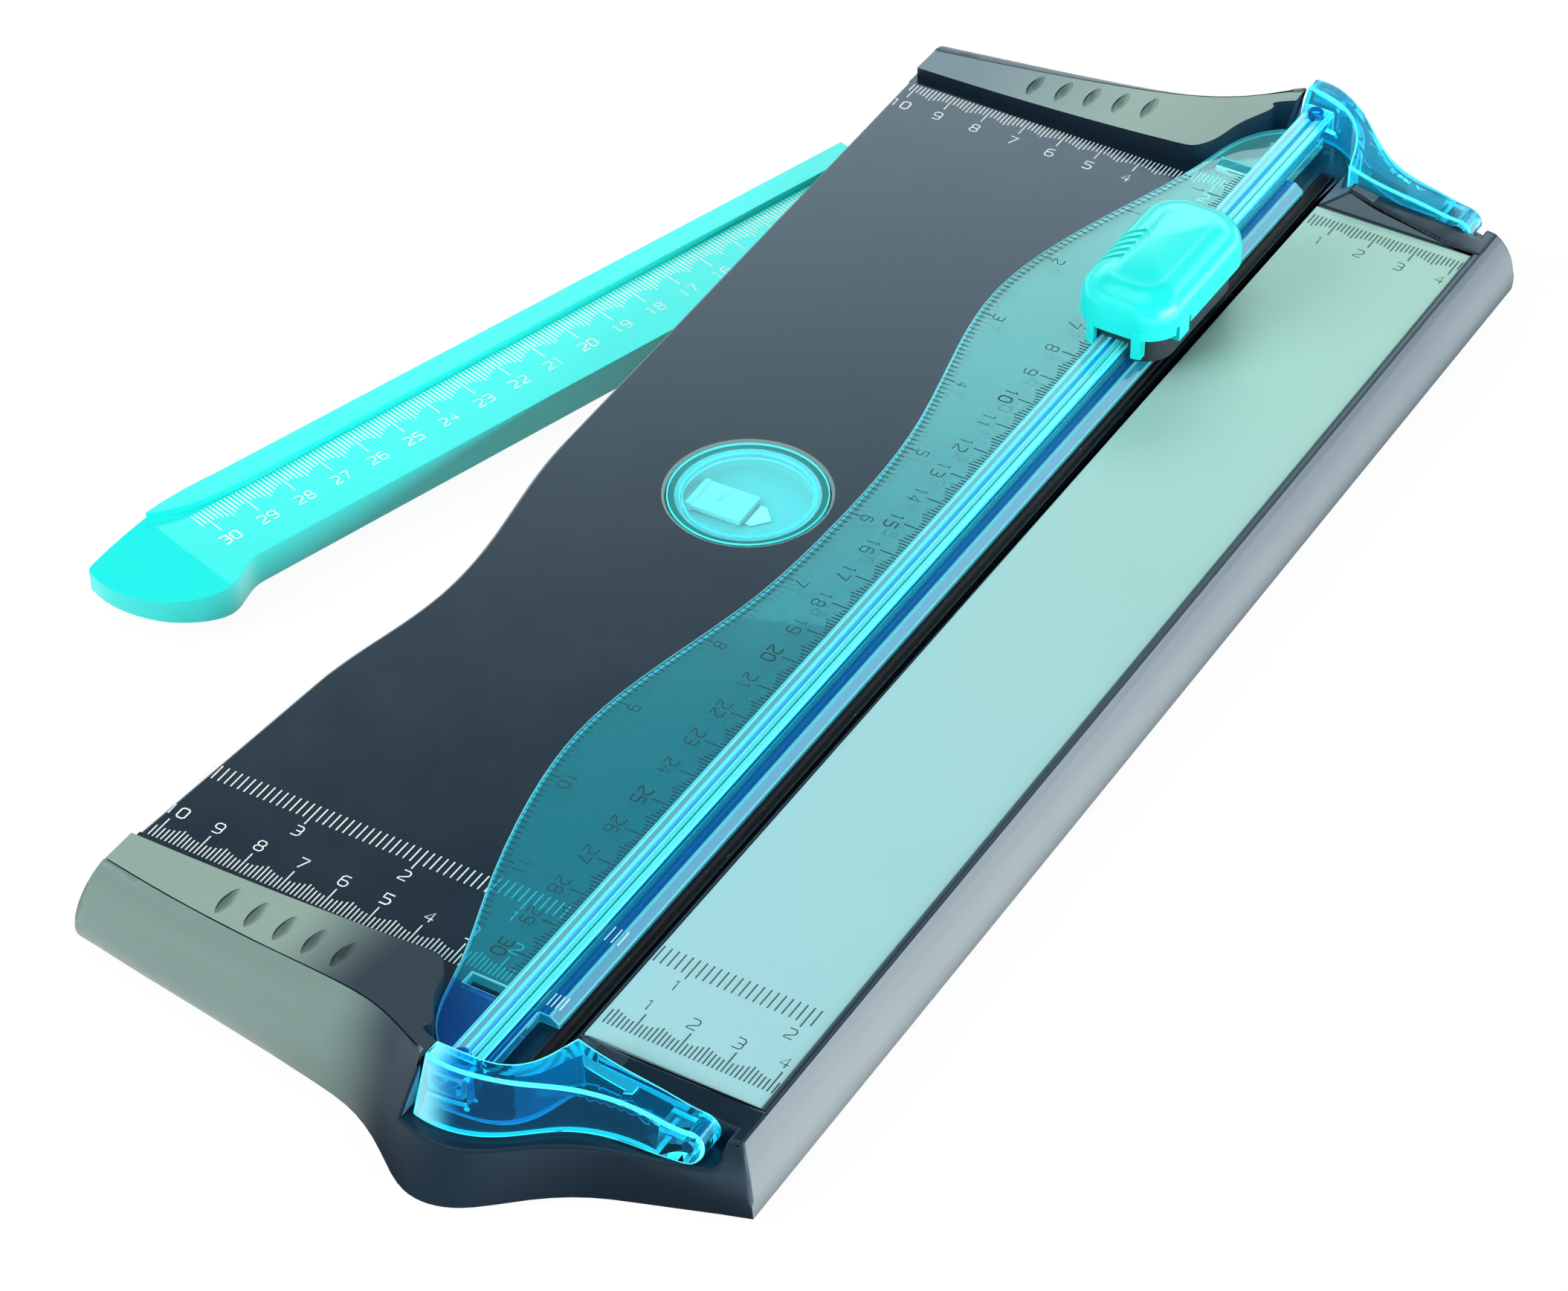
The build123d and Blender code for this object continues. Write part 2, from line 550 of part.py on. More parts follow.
with BuildPart() as base_shell:
    # Deck with its wavy left edge
    with BuildSketch(Plane.XY.offset(UNDER_DECK_Z)):
        with BuildLine():
            Line(EDGE_FAR, EDGE_MID)
            drift = (EDGE_MID[0] - EDGE_FAR[0], EDGE_MID[1] - EDGE_FAR[1])
            Spline(EDGE_MID, EDGE_WAIST, tangents=(drift, (0, -1)))
            back = (EDGE_NEAR[0] - EDGE_LOW[0], EDGE_NEAR[1] - EDGE_LOW[1])
            Spline(EDGE_WAIST, EDGE_LOW, tangents=((0, -1), back))
            Line(EDGE_LOW, EDGE_NEAR)
            right = SIDE_TOP_X
            Polyline(EDGE_NEAR, (right, EDGE_NEAR[1]), (right, EDGE_FAR[1]), EDGE_FAR)
        make_face()
    extrude(amount=DECK_WALL)
    rolled = base_shell.edges().group_by(Axis.Z)[-1].filter_by(Axis.X, reverse=True)
    fillet([e for e in rolled if e.center().X < EDGE_WAIST[0] + OVERRUN], EDGE_ROLL)
    add(rear_end.part)
    mirror(rear_end.part, about=Plane.XZ)
    # Right side wall
    with BuildSketch(Plane.XZ):
        with BuildLine():
            top = DECK_Z + SIDE_LIP
            ThreePointArc((SIDE_FOOT_X, FOOT_DROP), SIDE_BELLY, (SIDE_TOP_X, top))
            Polyline(
                (SIDE_TOP_X, top),
                (PANEL_X[1] + SEAT, top),
                (PANEL_X[1] + SEAT, UNDER_DECK_Z),
                (SIDE_TOP_X - SKIRT_WALL + SIDE_THIN, UNDER_DECK_Z),
                (SIDE_FOOT_X - SKIRT_WALL, FOOT_DROP),
                (SIDE_FOOT_X, FOOT_DROP),
            )
        make_face()
    extrude(amount=SIDE_Y, both=True)
    # End blocks cut flush with the side wall
    with BuildSketch(Plane.XZ):
        with BuildLine():
            ThreePointArc((SIDE_FOOT_X, FOOT_DROP), SIDE_BELLY, (SIDE_TOP_X, top))
            outside = SIDE_FOOT_X + BESIDE
            Polyline(
                (SIDE_TOP_X, top),
                (SIDE_TOP_X, HIGH),
                (outside, HIGH),
                (outside, FOOT_DROP),
                (SIDE_FOOT_X, FOOT_DROP),
            )
        make_face()
    extrude(amount=WIDE, both=True, mode=Mode.SUBTRACT)
    # Recesses for the panel and the mat
    with BuildSketch(Plane.XY.offset(DECK_Z - PANEL_THICK)):
        with Locations(((PANEL_X[0] + PANEL_X[1]) / 2, 0)):
            Rectangle(PANEL_X[1] - PANEL_X[0] + 2 * SEAT, 2 * (STOP_Y + SEAT))
    extrude(amount=PANEL_THICK, mode=Mode.SUBTRACT)
    with BuildSketch(Plane.XY.offset(DECK_Z - MAT_SINK)):
        with Locations(((MAT_X[0] + MAT_X[1]) / 2, 0)):
            Rectangle(MAT_X[1] - MAT_X[0] + 2 * SEAT, 2 * (MAT_Y + SEAT))
    extrude(amount=MAT_SINK, mode=Mode.SUBTRACT)
    # Room for the ruler, with its walls
    with BuildSketch(Plane.XY):
        Polygon(
            (LEFT_X - BESIDE, BAY_Y[0]),
            (BAY_X, BAY_Y[0]),
            (BAY_X, BAY_Y[1]),
            (LEFT_X - BESIDE, BAY_Y[1]),
            align=None,
        )
    extrude(amount=UNDER_DECK_Z, mode=Mode.SUBTRACT)
    with BuildSketch(Plane.XY.offset(COVER_PLATE_Z)):
        with Locations((BAY_X + BAY_RIB / 2, 0)):
            Rectangle(BAY_RIB, 2 * END_INNER_Y)
        with Locations(((BAY_X + EDGE_LOW[0] + EDGE_ROLL) / 2, BAY_Y[0] - BAY_RIB / 2)):
            Rectangle(BAY_X - EDGE_LOW[0] - EDGE_ROLL, BAY_RIB)
    extrude(amount=UNDER_DECK_Z - COVER_PLATE_Z)
    # Posts for the cover's screws, and for the two end feet
    with BuildSketch(Plane.XY.offset(COVER_PLATE_Z)):
        with Locations(*POSTS):
            Circle(POST_R)
    extrude(amount=UNDER_DECK_Z - COVER_PLATE_Z)
    with BuildSketch(Plane.XY.offset(FOOT_DROP)):
        with Locations(*END_FEET):
            Circle(FOOT_POST_R)
    extrude(amount=UNDER_DECK_Z - FOOT_DROP)
    with BuildSketch(Plane.XY.offset(FOOT_DROP)):
        with Locations(*END_FEET):
            Circle(FOOT_R + SEAT)
    extrude(amount=FOOT_THICK - FOOT_DROP, mode=Mode.SUBTRACT)
    with BuildSketch(Plane.XY.offset(COVER_PLATE_Z)):
        with Locations(*POSTS):
            Circle(SCREW_R + PRESSED)
    extrude(amount=SCREW_LONG + SEAT, mode=Mode.SUBTRACT)
    # Pivot boss of the ruler
    with BuildSketch(Plane.XY.offset(RULER_Z - HUB_BOTTOM)):
        with Locations(PIVOT):
            Circle(PIVOT_R)
    extrude(amount=UNDER_DECK_Z - RULER_Z + HUB_BOTTOM)
    with BuildSketch(Plane.XY.offset(RULER_Z - HUB_BOTTOM)):
        with Locations(PIVOT):
            Circle(SCREW_R + PRESSED)
    extrude(amount=SCREW_LONG + SEAT, mode=Mode.SUBTRACT)
    # Round window: a collar under the deck, a ledge for the tray's rim and a hole for its wall
    with BuildSketch(Plane.XY.offset(UNDER_DECK_Z - COLLAR_DROP)):
        with Locations(WINDOW):
            Circle(COLLAR_R)
    extrude(amount=COLLAR_DROP)
    with BuildSketch(Plane.XY.offset(DECK_Z - LID_THICK - CUP_RIM)):
        with Locations(WINDOW):
            Circle(LID_R + SLIDE)
    extrude(amount=LID_THICK + CUP_RIM, mode=Mode.SUBTRACT)
    with BuildSketch(Plane.XY):
        with Locations(WINDOW):
            Circle(CUP_R + SLIDE)
    extrude(amount=DECK_Z, mode=Mode.SUBTRACT)
base_shell.part.label = "base_shell"
export_step(base_shell.part, "parts/base_shell.step")

# Solid under the cover's skin, taken out to leave its top and walls
with BuildPart() as cover_core:
    inner = [(x - CURL_END * COVER_WALL, y + COVER_WALL) for x, y in COVER_CORNER[:4]]
    core_left = LEFT_X + LEFT_LEAN + COVER_LEFT_GAP + COVER_WALL
    core_xs = spaced(CORE_END_X, core_left, SECTION_COUNT // 2)
    seam_line = [(x, station(x)[2] - SEAM - COVER_WALL) for x in core_xs]
    with BuildSketch(Plane.XY.offset(DECK_Z)):
        with BuildLine():
            Line((core_left, STOP_Y + COVER_WALL), inner[0])
            Spline(*inner, tangents=((1, 0), (0.4, 1)))
            Polyline(inner[-1], (CORE_END_X, inner[-1][1] + 2 * COVER_WALL), seam_line[0])
            Spline(*seam_line)
            Line(seam_line[-1], (core_left, STOP_Y + COVER_WALL))
        make_face()
    extrude(amount=HIGH)
    loft((above_grip(STOP_Y, COVER_WALL), above_grip(COVER_OUT_Y, COVER_WALL)), mode=Mode.SUBTRACT)

with BuildPart() as rear_grip_cover:
    cover_left = LEFT_X + LEFT_LEAN + COVER_LEFT_GAP
    seam_line = [(x, station(x)[2] - SEAM) for x in spaced(COVER_END_X, cover_left, SECTION_COUNT)]
    with BuildSketch(Plane.XY.offset(DECK_Z)):
        with BuildLine():
            Line((cover_left, STOP_Y), COVER_CORNER[0])
            Spline(*COVER_CORNER, tangents=((1, 0), (1, 0.4)))
            Polyline(COVER_CORNER[-1], (COVER_END_X, COVER_CORNER[-1][1] + COVER_TAIL), seam_line[0])
            Spline(*seam_line)
            Line(seam_line[-1], (cover_left, STOP_Y))
        make_face()
    extrude(amount=HIGH)
    loft((above_grip(STOP_Y - OVERRUN, 0.0), above_grip(COVER_OUT_Y, 0.0)), mode=Mode.SUBTRACT)
    with BuildSketch(Plane.XZ):
        foot_x, tall_x = (x - SEAM / 2 for x in COVER_GAP_X)
        Polygon((foot_x, ARM_FLOOR_Z), (tall_x, ARM_TALL_Z), (0, ARM_TALL_Z), (0, ARM_FLOOR_Z), align=None)
    extrude(amount=WIDE, both=True, mode=Mode.SUBTRACT)
    add(cover_core.part, mode=Mode.SUBTRACT)
    # Lens-shaped dimples
    for n in range(DIMPLE_COUNT):
        x = DIMPLE_X + n * DIMPLE_PITCH
        y = DIMPLE_Y + n * DIMPLE_DRIFT
        z = grip_height(x, y) + DIMPLE_LIFT
        along = (0, 1, grip_height(x, y + OVERRUN) - grip_height(x, y))
        with BuildSketch(Plane(origin=(x, y, z), x_dir=along, z_dir=(1, 0, 0))):
            with BuildLine():
                ThreePointArc((-DIMPLE_HALF, 0), (0, DIMPLE_SAG), (DIMPLE_HALF, 0))
                Line((DIMPLE_HALF, 0), (-DIMPLE_HALF, 0))
            make_face()
        revolve(axis=Axis((x, y, z), along), mode=Mode.SUBTRACT)
rear_grip_cover.part.label = "rear_grip_cover"
export_step(rear_grip_cover.part, "parts/rear_grip_cover.step")

with BuildPart() as front_grip_cover:
    mirror(rear_grip_cover.part, about=Plane.XZ)
front_grip_cover.part.label = "front_grip_cover"
export_step(front_grip_cover.part, "parts/front_grip_cover.step")

with BuildPart() as side_panel:
    with BuildSketch(Plane.XY.offset(DECK_Z - PANEL_THICK)):
        with Locations(((PANEL_X[0] + PANEL_X[1]) / 2, 0)):
            Rectangle(PANEL_X[1] - PANEL_X[0], 2 * STOP_Y)
    extrude(amount=PANEL_THICK)
side_panel.part.label = "side_panel"
export_step(side_panel.part, "parts/side_panel.step")

with BuildPart() as cutting_mat:
    with BuildSketch(Plane.XY.offset(DECK_Z - MAT_SINK)):
        with Locations(((MAT_X[0] + MAT_X[1]) / 2, 0)):
            Rectangle(MAT_X[1] - MAT_X[0], 2 * MAT_Y)
    extrude(amount=MAT_SINK + MAT_PROUD)
    with BuildSketch(Plane.XZ):
        top = DECK_Z + MAT_PROUD
        Polygon(
            (-GROOVE_WIDTH / 2, top), (0, top - GROOVE_DEEP), (GROOVE_WIDTH / 2, top), align=None
        )
    extrude(amount=MAT_Y, both=True, mode=Mode.SUBTRACT)
cutting_mat.part.label = "cutting_mat"
export_step(cutting_mat.part, "parts/cutting_mat.step")

with BuildPart() as hold_down_plate:
    with BuildSketch(Plane.XY.offset(PLATE_Z)):
        with BuildLine():
            inner_x = RAIL_X + RAIL_HALF
            Polyline(
                PLATE_WAVE[-1],
                (PLATE_NECK_X, -PLATE_END_Y),
                (inner_x, -PLATE_END_Y),
                (inner_x, -PLATE_BAR_Y),
                (PLATE_RIGHT_X, -PLATE_BAR_Y),
                (PLATE_RIGHT_X, PLATE_BAR_Y),
                (inner_x, PLATE_BAR_Y),
                (inner_x, PLATE_END_Y),
                (PLATE_NECK_X, PLATE_END_Y),
                PLATE_WAVE[0],
            )
            Spline(*PLATE_WAVE)
        make_face()
        with Locations(((SLOT_X[0] + SLOT_X[1]) / 2, SLOT_Y), ((SLOT_X[0] + SLOT_X[1]) / 2, -SLOT_Y)):
            Rectangle(SLOT_X[1] - SLOT_X[0], SLOT_WIDTH, mode=Mode.SUBTRACT)
    extrude(amount=PLATE_THICK)
    bar = hold_down_plate.faces().sort_by(Axis.X)[-1].edges().sort_by(Axis.Z)[-1]
    chamfer(bar, PLATE_BEVEL[0], PLATE_BEVEL[1])
hold_down_plate.part.label = "hold_down_plate"
export_step(hold_down_plate.part, "parts/hold_down_plate.step")

with BuildPart() as slide_rail:
    with BuildSketch(Plane.XZ):
        with Locations((RAIL_X, 0)):
            Polygon(
                (-RAIL_WEB_HALF, PLATE_TOP_Z),
                (RAIL_WEB_HALF, PLATE_TOP_Z),
                (RAIL_WEB_HALF, RAIL_HEAD_Z),
                (RAIL_HALF, RAIL_HEAD_Z),
                (RAIL_HALF, RAIL_TOP_Z - RAIL_GROOVE),
                (RAIL_WEB_HALF, RAIL_TOP_Z),
                (RAIL_GROOVE, RAIL_TOP_Z),
                (0, RAIL_TOP_Z - RAIL_GROOVE),
                (-RAIL_GROOVE, RAIL_TOP_Z),
                (-RAIL_HALF, RAIL_TOP_Z),
                (-RAIL_HALF, RAIL_HEAD_Z),
                (-RAIL_WEB_HALF, RAIL_HEAD_Z),
                align=None,
            )
    extrude(amount=RAIL_END_Y, both=True)
    with BuildSketch(Plane.XY.offset(RAIL_TOP_Z - PEG_DEEP)):
        with Locations((RAIL_X, PEG_Y), (RAIL_X, -PEG_Y)):
            Circle(PEG_R + PRESSED)
    extrude(amount=PEG_DEEP, mode=Mode.SUBTRACT)
slide_rail.part.label = "slide_rail"
export_step(slide_rail.part, "parts/slide_rail.step")

with BuildPart() as rail_pegs:
    with BuildSketch(Plane.XY.offset(RAIL_TOP_Z - PEG_DEEP)):
        with Locations((RAIL_X, PEG_Y), (RAIL_X, -PEG_Y)):
            Circle(PEG_R)
    extrude(amount=PEG_DEEP + PEG_PROUD)
    fillet(rail_pegs.edges().group_by(Axis.Z)[-1], PEG_R / 3)
rail_pegs.part.label = "rail_pegs"
export_step(rail_pegs.part, "parts/rail_pegs.step")

# Solid inside an arm's skin, open below
with BuildPart() as arm_core:
    core_foot = arm_plan(ARM_FOOT_Z - OVERRUN, 0.0, ARM_LEFT_X[0], ARM_WALL, ARM_CORE_X)
    loft((core_foot, arm_plan(ARM_TALL_Z, 1.0, ARM_LEFT_X[1], ARM_WALL, ARM_CORE_X)))
    with BuildSketch(Plane.XZ):
        with BuildLine():
            lowered = [(x, z - ARM_WALL) for x, z in ARM_TOP]
            Spline(*lowered)
            Polyline(lowered[-1], (lowered[-1][0], 2 * HIGH), (lowered[0][0], 2 * HIGH), lowered[0])
        make_face()
    extrude(amount=WIDE, both=True, mode=Mode.SUBTRACT)

with BuildPart() as rear_arm:
    arm_end_x = HINGE_X + HINGE_R + OVERRUN
    arm_foot = arm_plan(ARM_FOOT_Z - OVERRUN, 0.0, ARM_LEFT_X[0], 0.0, arm_end_x)
    loft((arm_foot, arm_plan(ARM_TALL_Z, 1.0, ARM_LEFT_X[1], 0.0, arm_end_x)))
    # Side view: rounded about the hinge, rising to the left
    with BuildSketch(Plane.XZ.offset(-WIDE)):
        with BuildLine():
            Spline(*ARM_TOP, tangents=((-1, 0), (-1, 0.1)))
            far_left = ARM_TOP[-1][0]
            Polyline(ARM_TOP[-1], (far_left, ARM_FOOT_Z), (HINGE_X, ARM_FOOT_Z))
            ThreePointArc((HINGE_X, ARM_FOOT_Z), (HINGE_X + HINGE_R, HINGE_Z), ARM_TOP[0])
        make_face()
    extrude(amount=WIDE, mode=Mode.INTERSECT)
    add(arm_core.part, mode=Mode.SUBTRACT)
    # Lug that takes the rail's end
    with BuildSketch(Plane.XY.offset(LUG_Z[0])):
        Polygon(
            (LUG_X[0], LUG_Y[0]),
            (LUG_X[1], LUG_Y[0]),
            (LUG_X[1], LUG_Y[1]),
            (LUG_X[0], LUG_Y[1]),
            align=None,
        )
    extrude(amount=LUG_Z[1] - LUG_Z[0])
    with BuildSketch(Plane.XZ.offset(-RAIL_END_Y - SEAT)):
        with Locations((RAIL_X, (PLATE_TOP_Z + RAIL_TOP_Z) / 2)):
            Rectangle(2 * (RAIL_HALF + SEAT), RAIL_TOP_Z - PLATE_TOP_Z + 2 * SEAT)
    extrude(amount=RAIL_END_Y - STOP_Y, mode=Mode.SUBTRACT)
    # Clear of the peg that stands in front of the arm
    with BuildSketch(Plane.XY.offset(RAIL_TOP_Z)):
        with Locations((RAIL_X, PEG_Y)):
            Circle(PEG_R + SLIDE)
    extrude(amount=PEG_PROUD + SLIDE, mode=Mode.SUBTRACT)
    # Hinge bore
    with BuildSketch(Plane.XZ.offset(-STOP_Y)):
        with Locations((HINGE_X, HINGE_Z)):
            Circle(PIN_R + RUN)
    extrude(amount=STOP_Y - PIN_Y[1] - SEAT, mode=Mode.SUBTRACT)
rear_arm.part.label = "rear_arm"
export_step(rear_arm.part, "parts/rear_arm.step")

with BuildPart() as front_arm:
    mirror(rear_arm.part, about=Plane.XZ)
front_arm.part.label = "front_arm"
export_step(front_arm.part, "parts/front_arm.step")

with BuildPart() as hinge_pins:
    with BuildSketch(Plane.XZ.offset(-PIN_Y[0])):
        with Locations((HINGE_X, HINGE_Z)):
            Circle(PIN_R)
    extrude(amount=PIN_Y[0] - PIN_Y[1])
    mirror(about=Plane.XZ)
hinge_pins.part.label = "hinge_pins"
export_step(hinge_pins.part, "parts/hinge_pins.step")

with BuildPart() as slider_carriage:
    with BuildSketch(Plane.XY.offset(SHOE_Z)):
        with Locations(((SHOE_X[0] + SHOE_X[1]) / 2, SLIDER_Y)):
            RectangleRounded(SHOE_X[1] - SHOE_X[0], 2 * SHOE_HALF, CAP_CORNER - CAP_WALL)
    extrude(amount=SHOE_TOP_Z - SHOE_Z)
    # Open top above a roof over the rail
    with BuildSketch(Plane.XY.offset(RAIL_TOP_Z + SLIDE + SHOE_ROOF)):
        with Locations(((SHOE_X[0] + SHOE_X[1]) / 2, SLIDER_Y)):
            wide = SHOE_X[1] - SHOE_X[0] - 2 * SHOE_WALL
            RectangleRounded(wide, 2 * (SHOE_HALF - SHOE_WALL), CAP_CORNER - CAP_WALL - SHOE_WALL)
    extrude(amount=HIGH, mode=Mode.SUBTRACT)
    # Tunnel for the rail, with jaws under its head
    with BuildSketch(Plane.XZ.offset(-SLIDER_Y)):
        with Locations((RAIL_X, (RAIL_HEAD_Z + RAIL_TOP_Z) / 2)):
            Rectangle(2 * (RAIL_HALF + SLIDE), RAIL_TOP_Z - RAIL_HEAD_Z + 2 * SLIDE)
        with Locations((RAIL_X, (SHOE_Z + RAIL_HEAD_Z) / 2)):
            Rectangle(2 * (RAIL_WEB_HALF + SLIDE), RAIL_HEAD_Z - SHOE_Z)
    extrude(amount=2 * SHOE_HALF, both=True, mode=Mode.SUBTRACT)
    # Slot for the cutter, wider above for the cap's rib
    with BuildSketch(Plane.XY.offset(SHOE_Z)):
        with Locations((0, SLIDER_Y)):
            Rectangle(2 * BLADE_THICK + 2 * SLIDE, 2 * (BLADE_HALF + SLIDE))
    extrude(amount=HIGH, mode=Mode.SUBTRACT)
    rib_x = -BLADE_THICK / 2 - HOLDER_THICK - RIB_THICK
    with BuildSketch(Plane.XY.offset(HOLDER_Z - PRESS - SLIDE)):
        with Locations(((rib_x - BOSS_LONG + HOLDER_EDGE) / 2, SLIDER_Y)):
            Rectangle(HOLDER_EDGE - rib_x, 2 * (HOLDER_HALF + SLIDE + RIB_ROOM))
    extrude(amount=HIGH, mode=Mode.SUBTRACT)
slider_carriage.part.label = "slider_carriage"
export_step(slider_carriage.part, "parts/slider_carriage.step")

with BuildPart() as slider_cap:
    loft([cap_plan(rise, draw, 0.0) for rise, draw in CAP_DOME])
    inside = [cap_plan(rise, draw, CAP_WALL) for rise, draw in CAP_DOME[:2]]
    loft((*inside, cap_plan(CEILING_Z - CAP_Z, CAP_DOME[2][1], CAP_WALL)), mode=Mode.SUBTRACT)
    # Prongs that hang in front of and behind the carriage
    for x in PRONG_X:
        for end in (-1, 1):
            with BuildSketch(Plane.XY.offset(PRONG_Z)):
                with Locations((x, SLIDER_Y + end * CAP_HALF)):
                    Rectangle(PRONG_WIDE, 2 * CAP_CORNER)
                with Locations(((CAP_X[0] + CAP_X[1]) / 2, SLIDER_Y)):
                    RectangleRounded(CAP_X[1] - CAP_X[0], 2 * CAP_HALF, CAP_CORNER, mode=Mode.INTERSECT)
                    wide = CAP_X[1] - CAP_X[0] - 2 * CAP_WALL
                    deep = 2 * (CAP_HALF - CAP_WALL)
                    RectangleRounded(wide, deep, CAP_CORNER - CAP_WALL, mode=Mode.SUBTRACT)
            extrude(amount=CAP_Z + PRONG_ROOT - PRONG_Z)
    # Tab between two slits on the right
    with BuildSketch(Plane.XY.offset(CAP_Z - TAB_DROP)):
        with Locations((CAP_X[1] - CAP_WALL / 2, SLIDER_Y + TAB_Y)):
            Rectangle(CAP_WALL, TAB_LONG)
    extrude(amount=TAB_DROP + PRONG_ROOT)
    with BuildSketch(Plane.XY.offset(CAP_Z)):
        for end in (-1, 1):
            with Locations((CAP_X[1], SLIDER_Y + TAB_Y + end * (TAB_LONG + TAB_SLIT) / 2)):
                Rectangle(3 * CAP_WALL, TAB_SLIT)
    extrude(amount=PRONG_ROOT, mode=Mode.SUBTRACT)
    # Rib that carries the cutter, with a hole for its boss
    rib_x = -BLADE_THICK / 2 - HOLDER_THICK - SEAT - RIB_THICK / 2
    with BuildSketch(Plane.XY.offset(RIB_Z)):
        with Locations((rib_x, SLIDER_Y)):
            Rectangle(RIB_THICK, 2 * HOLDER_HALF)
    extrude(amount=CEILING_Z - RIB_Z)
    with BuildSketch(Plane.YZ.offset(rib_x)):
        with Locations((SLIDER_Y, HOLDER_Z + BOSS_Z)):
            Circle(BOSS_R + SEAT)
    extrude(amount=RIB_THICK, both=True, mode=Mode.SUBTRACT)
    # Grip grooves on the left shoulder
    for n in range(GRIP_CUT_COUNT):
        y = SLIDER_Y - n * GRIP_CUT_PITCH
        tilt = Plane(
            origin=(CAP_X[0] + GRIP_CUT_START[0], y, CAP_Z + GRIP_CUT_START[1]),
            x_dir=(0, 0, 1),
            z_dir=(cos(radians(GRIP_CUT_TURN)), sin(radians(GRIP_CUT_TURN)), GRIP_CUT_CLIMB),
        )
        with BuildSketch(tilt):
            Circle(GRIP_CUT_R)
        extrude(amount=GRIP_CUT_LONG, mode=Mode.SUBTRACT)
slider_cap.part.label = "slider_cap"
export_step(slider_cap.part, "parts/slider_cap.step")

with BuildPart() as cap_spring:
    spring_z = RAIL_TOP_Z + SLIDE + SHOE_ROOF + SPRING_WIRE
    spring_tall = CEILING_Z - spring_z - SPRING_WIRE
    with BuildLine(Plane(origin=(RAIL_X, SLIDER_Y, spring_z))) as coil:
        Helix(pitch=spring_tall / SPRING_TURNS, height=spring_tall, radius=SPRING_R)
    with BuildSketch(Plane(origin=coil.line @ 0, z_dir=coil.line % 0)):
        Circle(SPRING_WIRE)
    sweep(is_frenet=True)
cap_spring.part.label = "cap_spring"
export_step(cap_spring.part, "parts/cap_spring.step")

with BuildPart() as blade_holder:
    with BuildSketch(Plane.XZ.offset(-SLIDER_Y)):
        face_x = -BLADE_THICK / 2
        Polygon(
            (face_x, HOLDER_Z),
            (face_x, CEILING_Z - HOLDER_EDGE_TALL),
            (face_x - HOLDER_THICK + HOLDER_EDGE, CEILING_Z - HOLDER_EDGE_TALL),
            (face_x - HOLDER_THICK + HOLDER_EDGE, CEILING_Z),
            (face_x - HOLDER_THICK, CEILING_Z),
            (face_x - HOLDER_THICK, HOLDER_Z),
            align=None,
        )
    extrude(amount=HOLDER_HALF, both=True)
    with BuildSketch(Plane.YZ.offset(-BLADE_THICK / 2 - HOLDER_THICK)):
        with Locations((SLIDER_Y, HOLDER_Z + BOSS_Z)):
            Circle(BOSS_R)
    extrude(amount=-BOSS_LONG)
blade_holder.part.label = "blade_holder"
export_step(blade_holder.part, "parts/blade_holder.step")

with BuildPart() as blade:
    with BuildSketch(Plane.YZ.offset(-BLADE_THICK / 2)):
        with Locations((SLIDER_Y, BLADE_TIP_Z)):
            Polygon(
                (0, 0),
                (BLADE_HALF, BLADE_SLOPE),
                (BLADE_HALF, BLADE_TALL),
                (-BLADE_HALF, BLADE_TALL),
                (-BLADE_HALF, BLADE_SLOPE),
                align=None,
            )
    extrude(amount=BLADE_THICK)
blade.part.label = "blade"
export_step(blade.part, "parts/blade.step")

with BuildPart() as storage_cup:
    with BuildSketch(Plane.XZ):
        rim_z = DECK_Z - LID_THICK
        Polygon(
            (0, CUP_FLOOR_Z - CUP_WALL),
            (CUP_FLOOR_R + CUP_WALL, CUP_FLOOR_Z - CUP_WALL),
            (CUP_R, rim_z - CUP_RIM),
            (LID_R, rim_z - CUP_RIM),
            (LID_R, rim_z),
            (CUP_R - CUP_WALL + SEAT, rim_z),
            (CUP_FLOOR_R, CUP_FLOOR_Z),
            (0, CUP_FLOOR_Z),
            align=None,
        )
    revolve(axis=Axis.Z)
storage_cup.part.locate(Location((WINDOW[0], WINDOW[1], 0)))
storage_cup.part.label = "storage_cup"
export_step(storage_cup.part, "parts/storage_cup.step")

with BuildPart() as storage_lid:
    with BuildSketch(Plane.XY.offset(DECK_Z - LID_THICK)):
        with Locations(WINDOW):
            Circle(LID_R)
    extrude(amount=LID_THICK - SEAT)
    with BuildSketch(Plane.XY.offset(DECK_Z - LID_THICK - LID_RING_DEEP)):
        with Locations(WINDOW):
            Circle(RING_R)
            Circle(RING_R - RING_WALL, mode=Mode.SUBTRACT)
    extrude(amount=LID_RING_DEEP)
storage_lid.part.label = "storage_lid"
export_step(storage_lid.part, "parts/storage_lid.step")

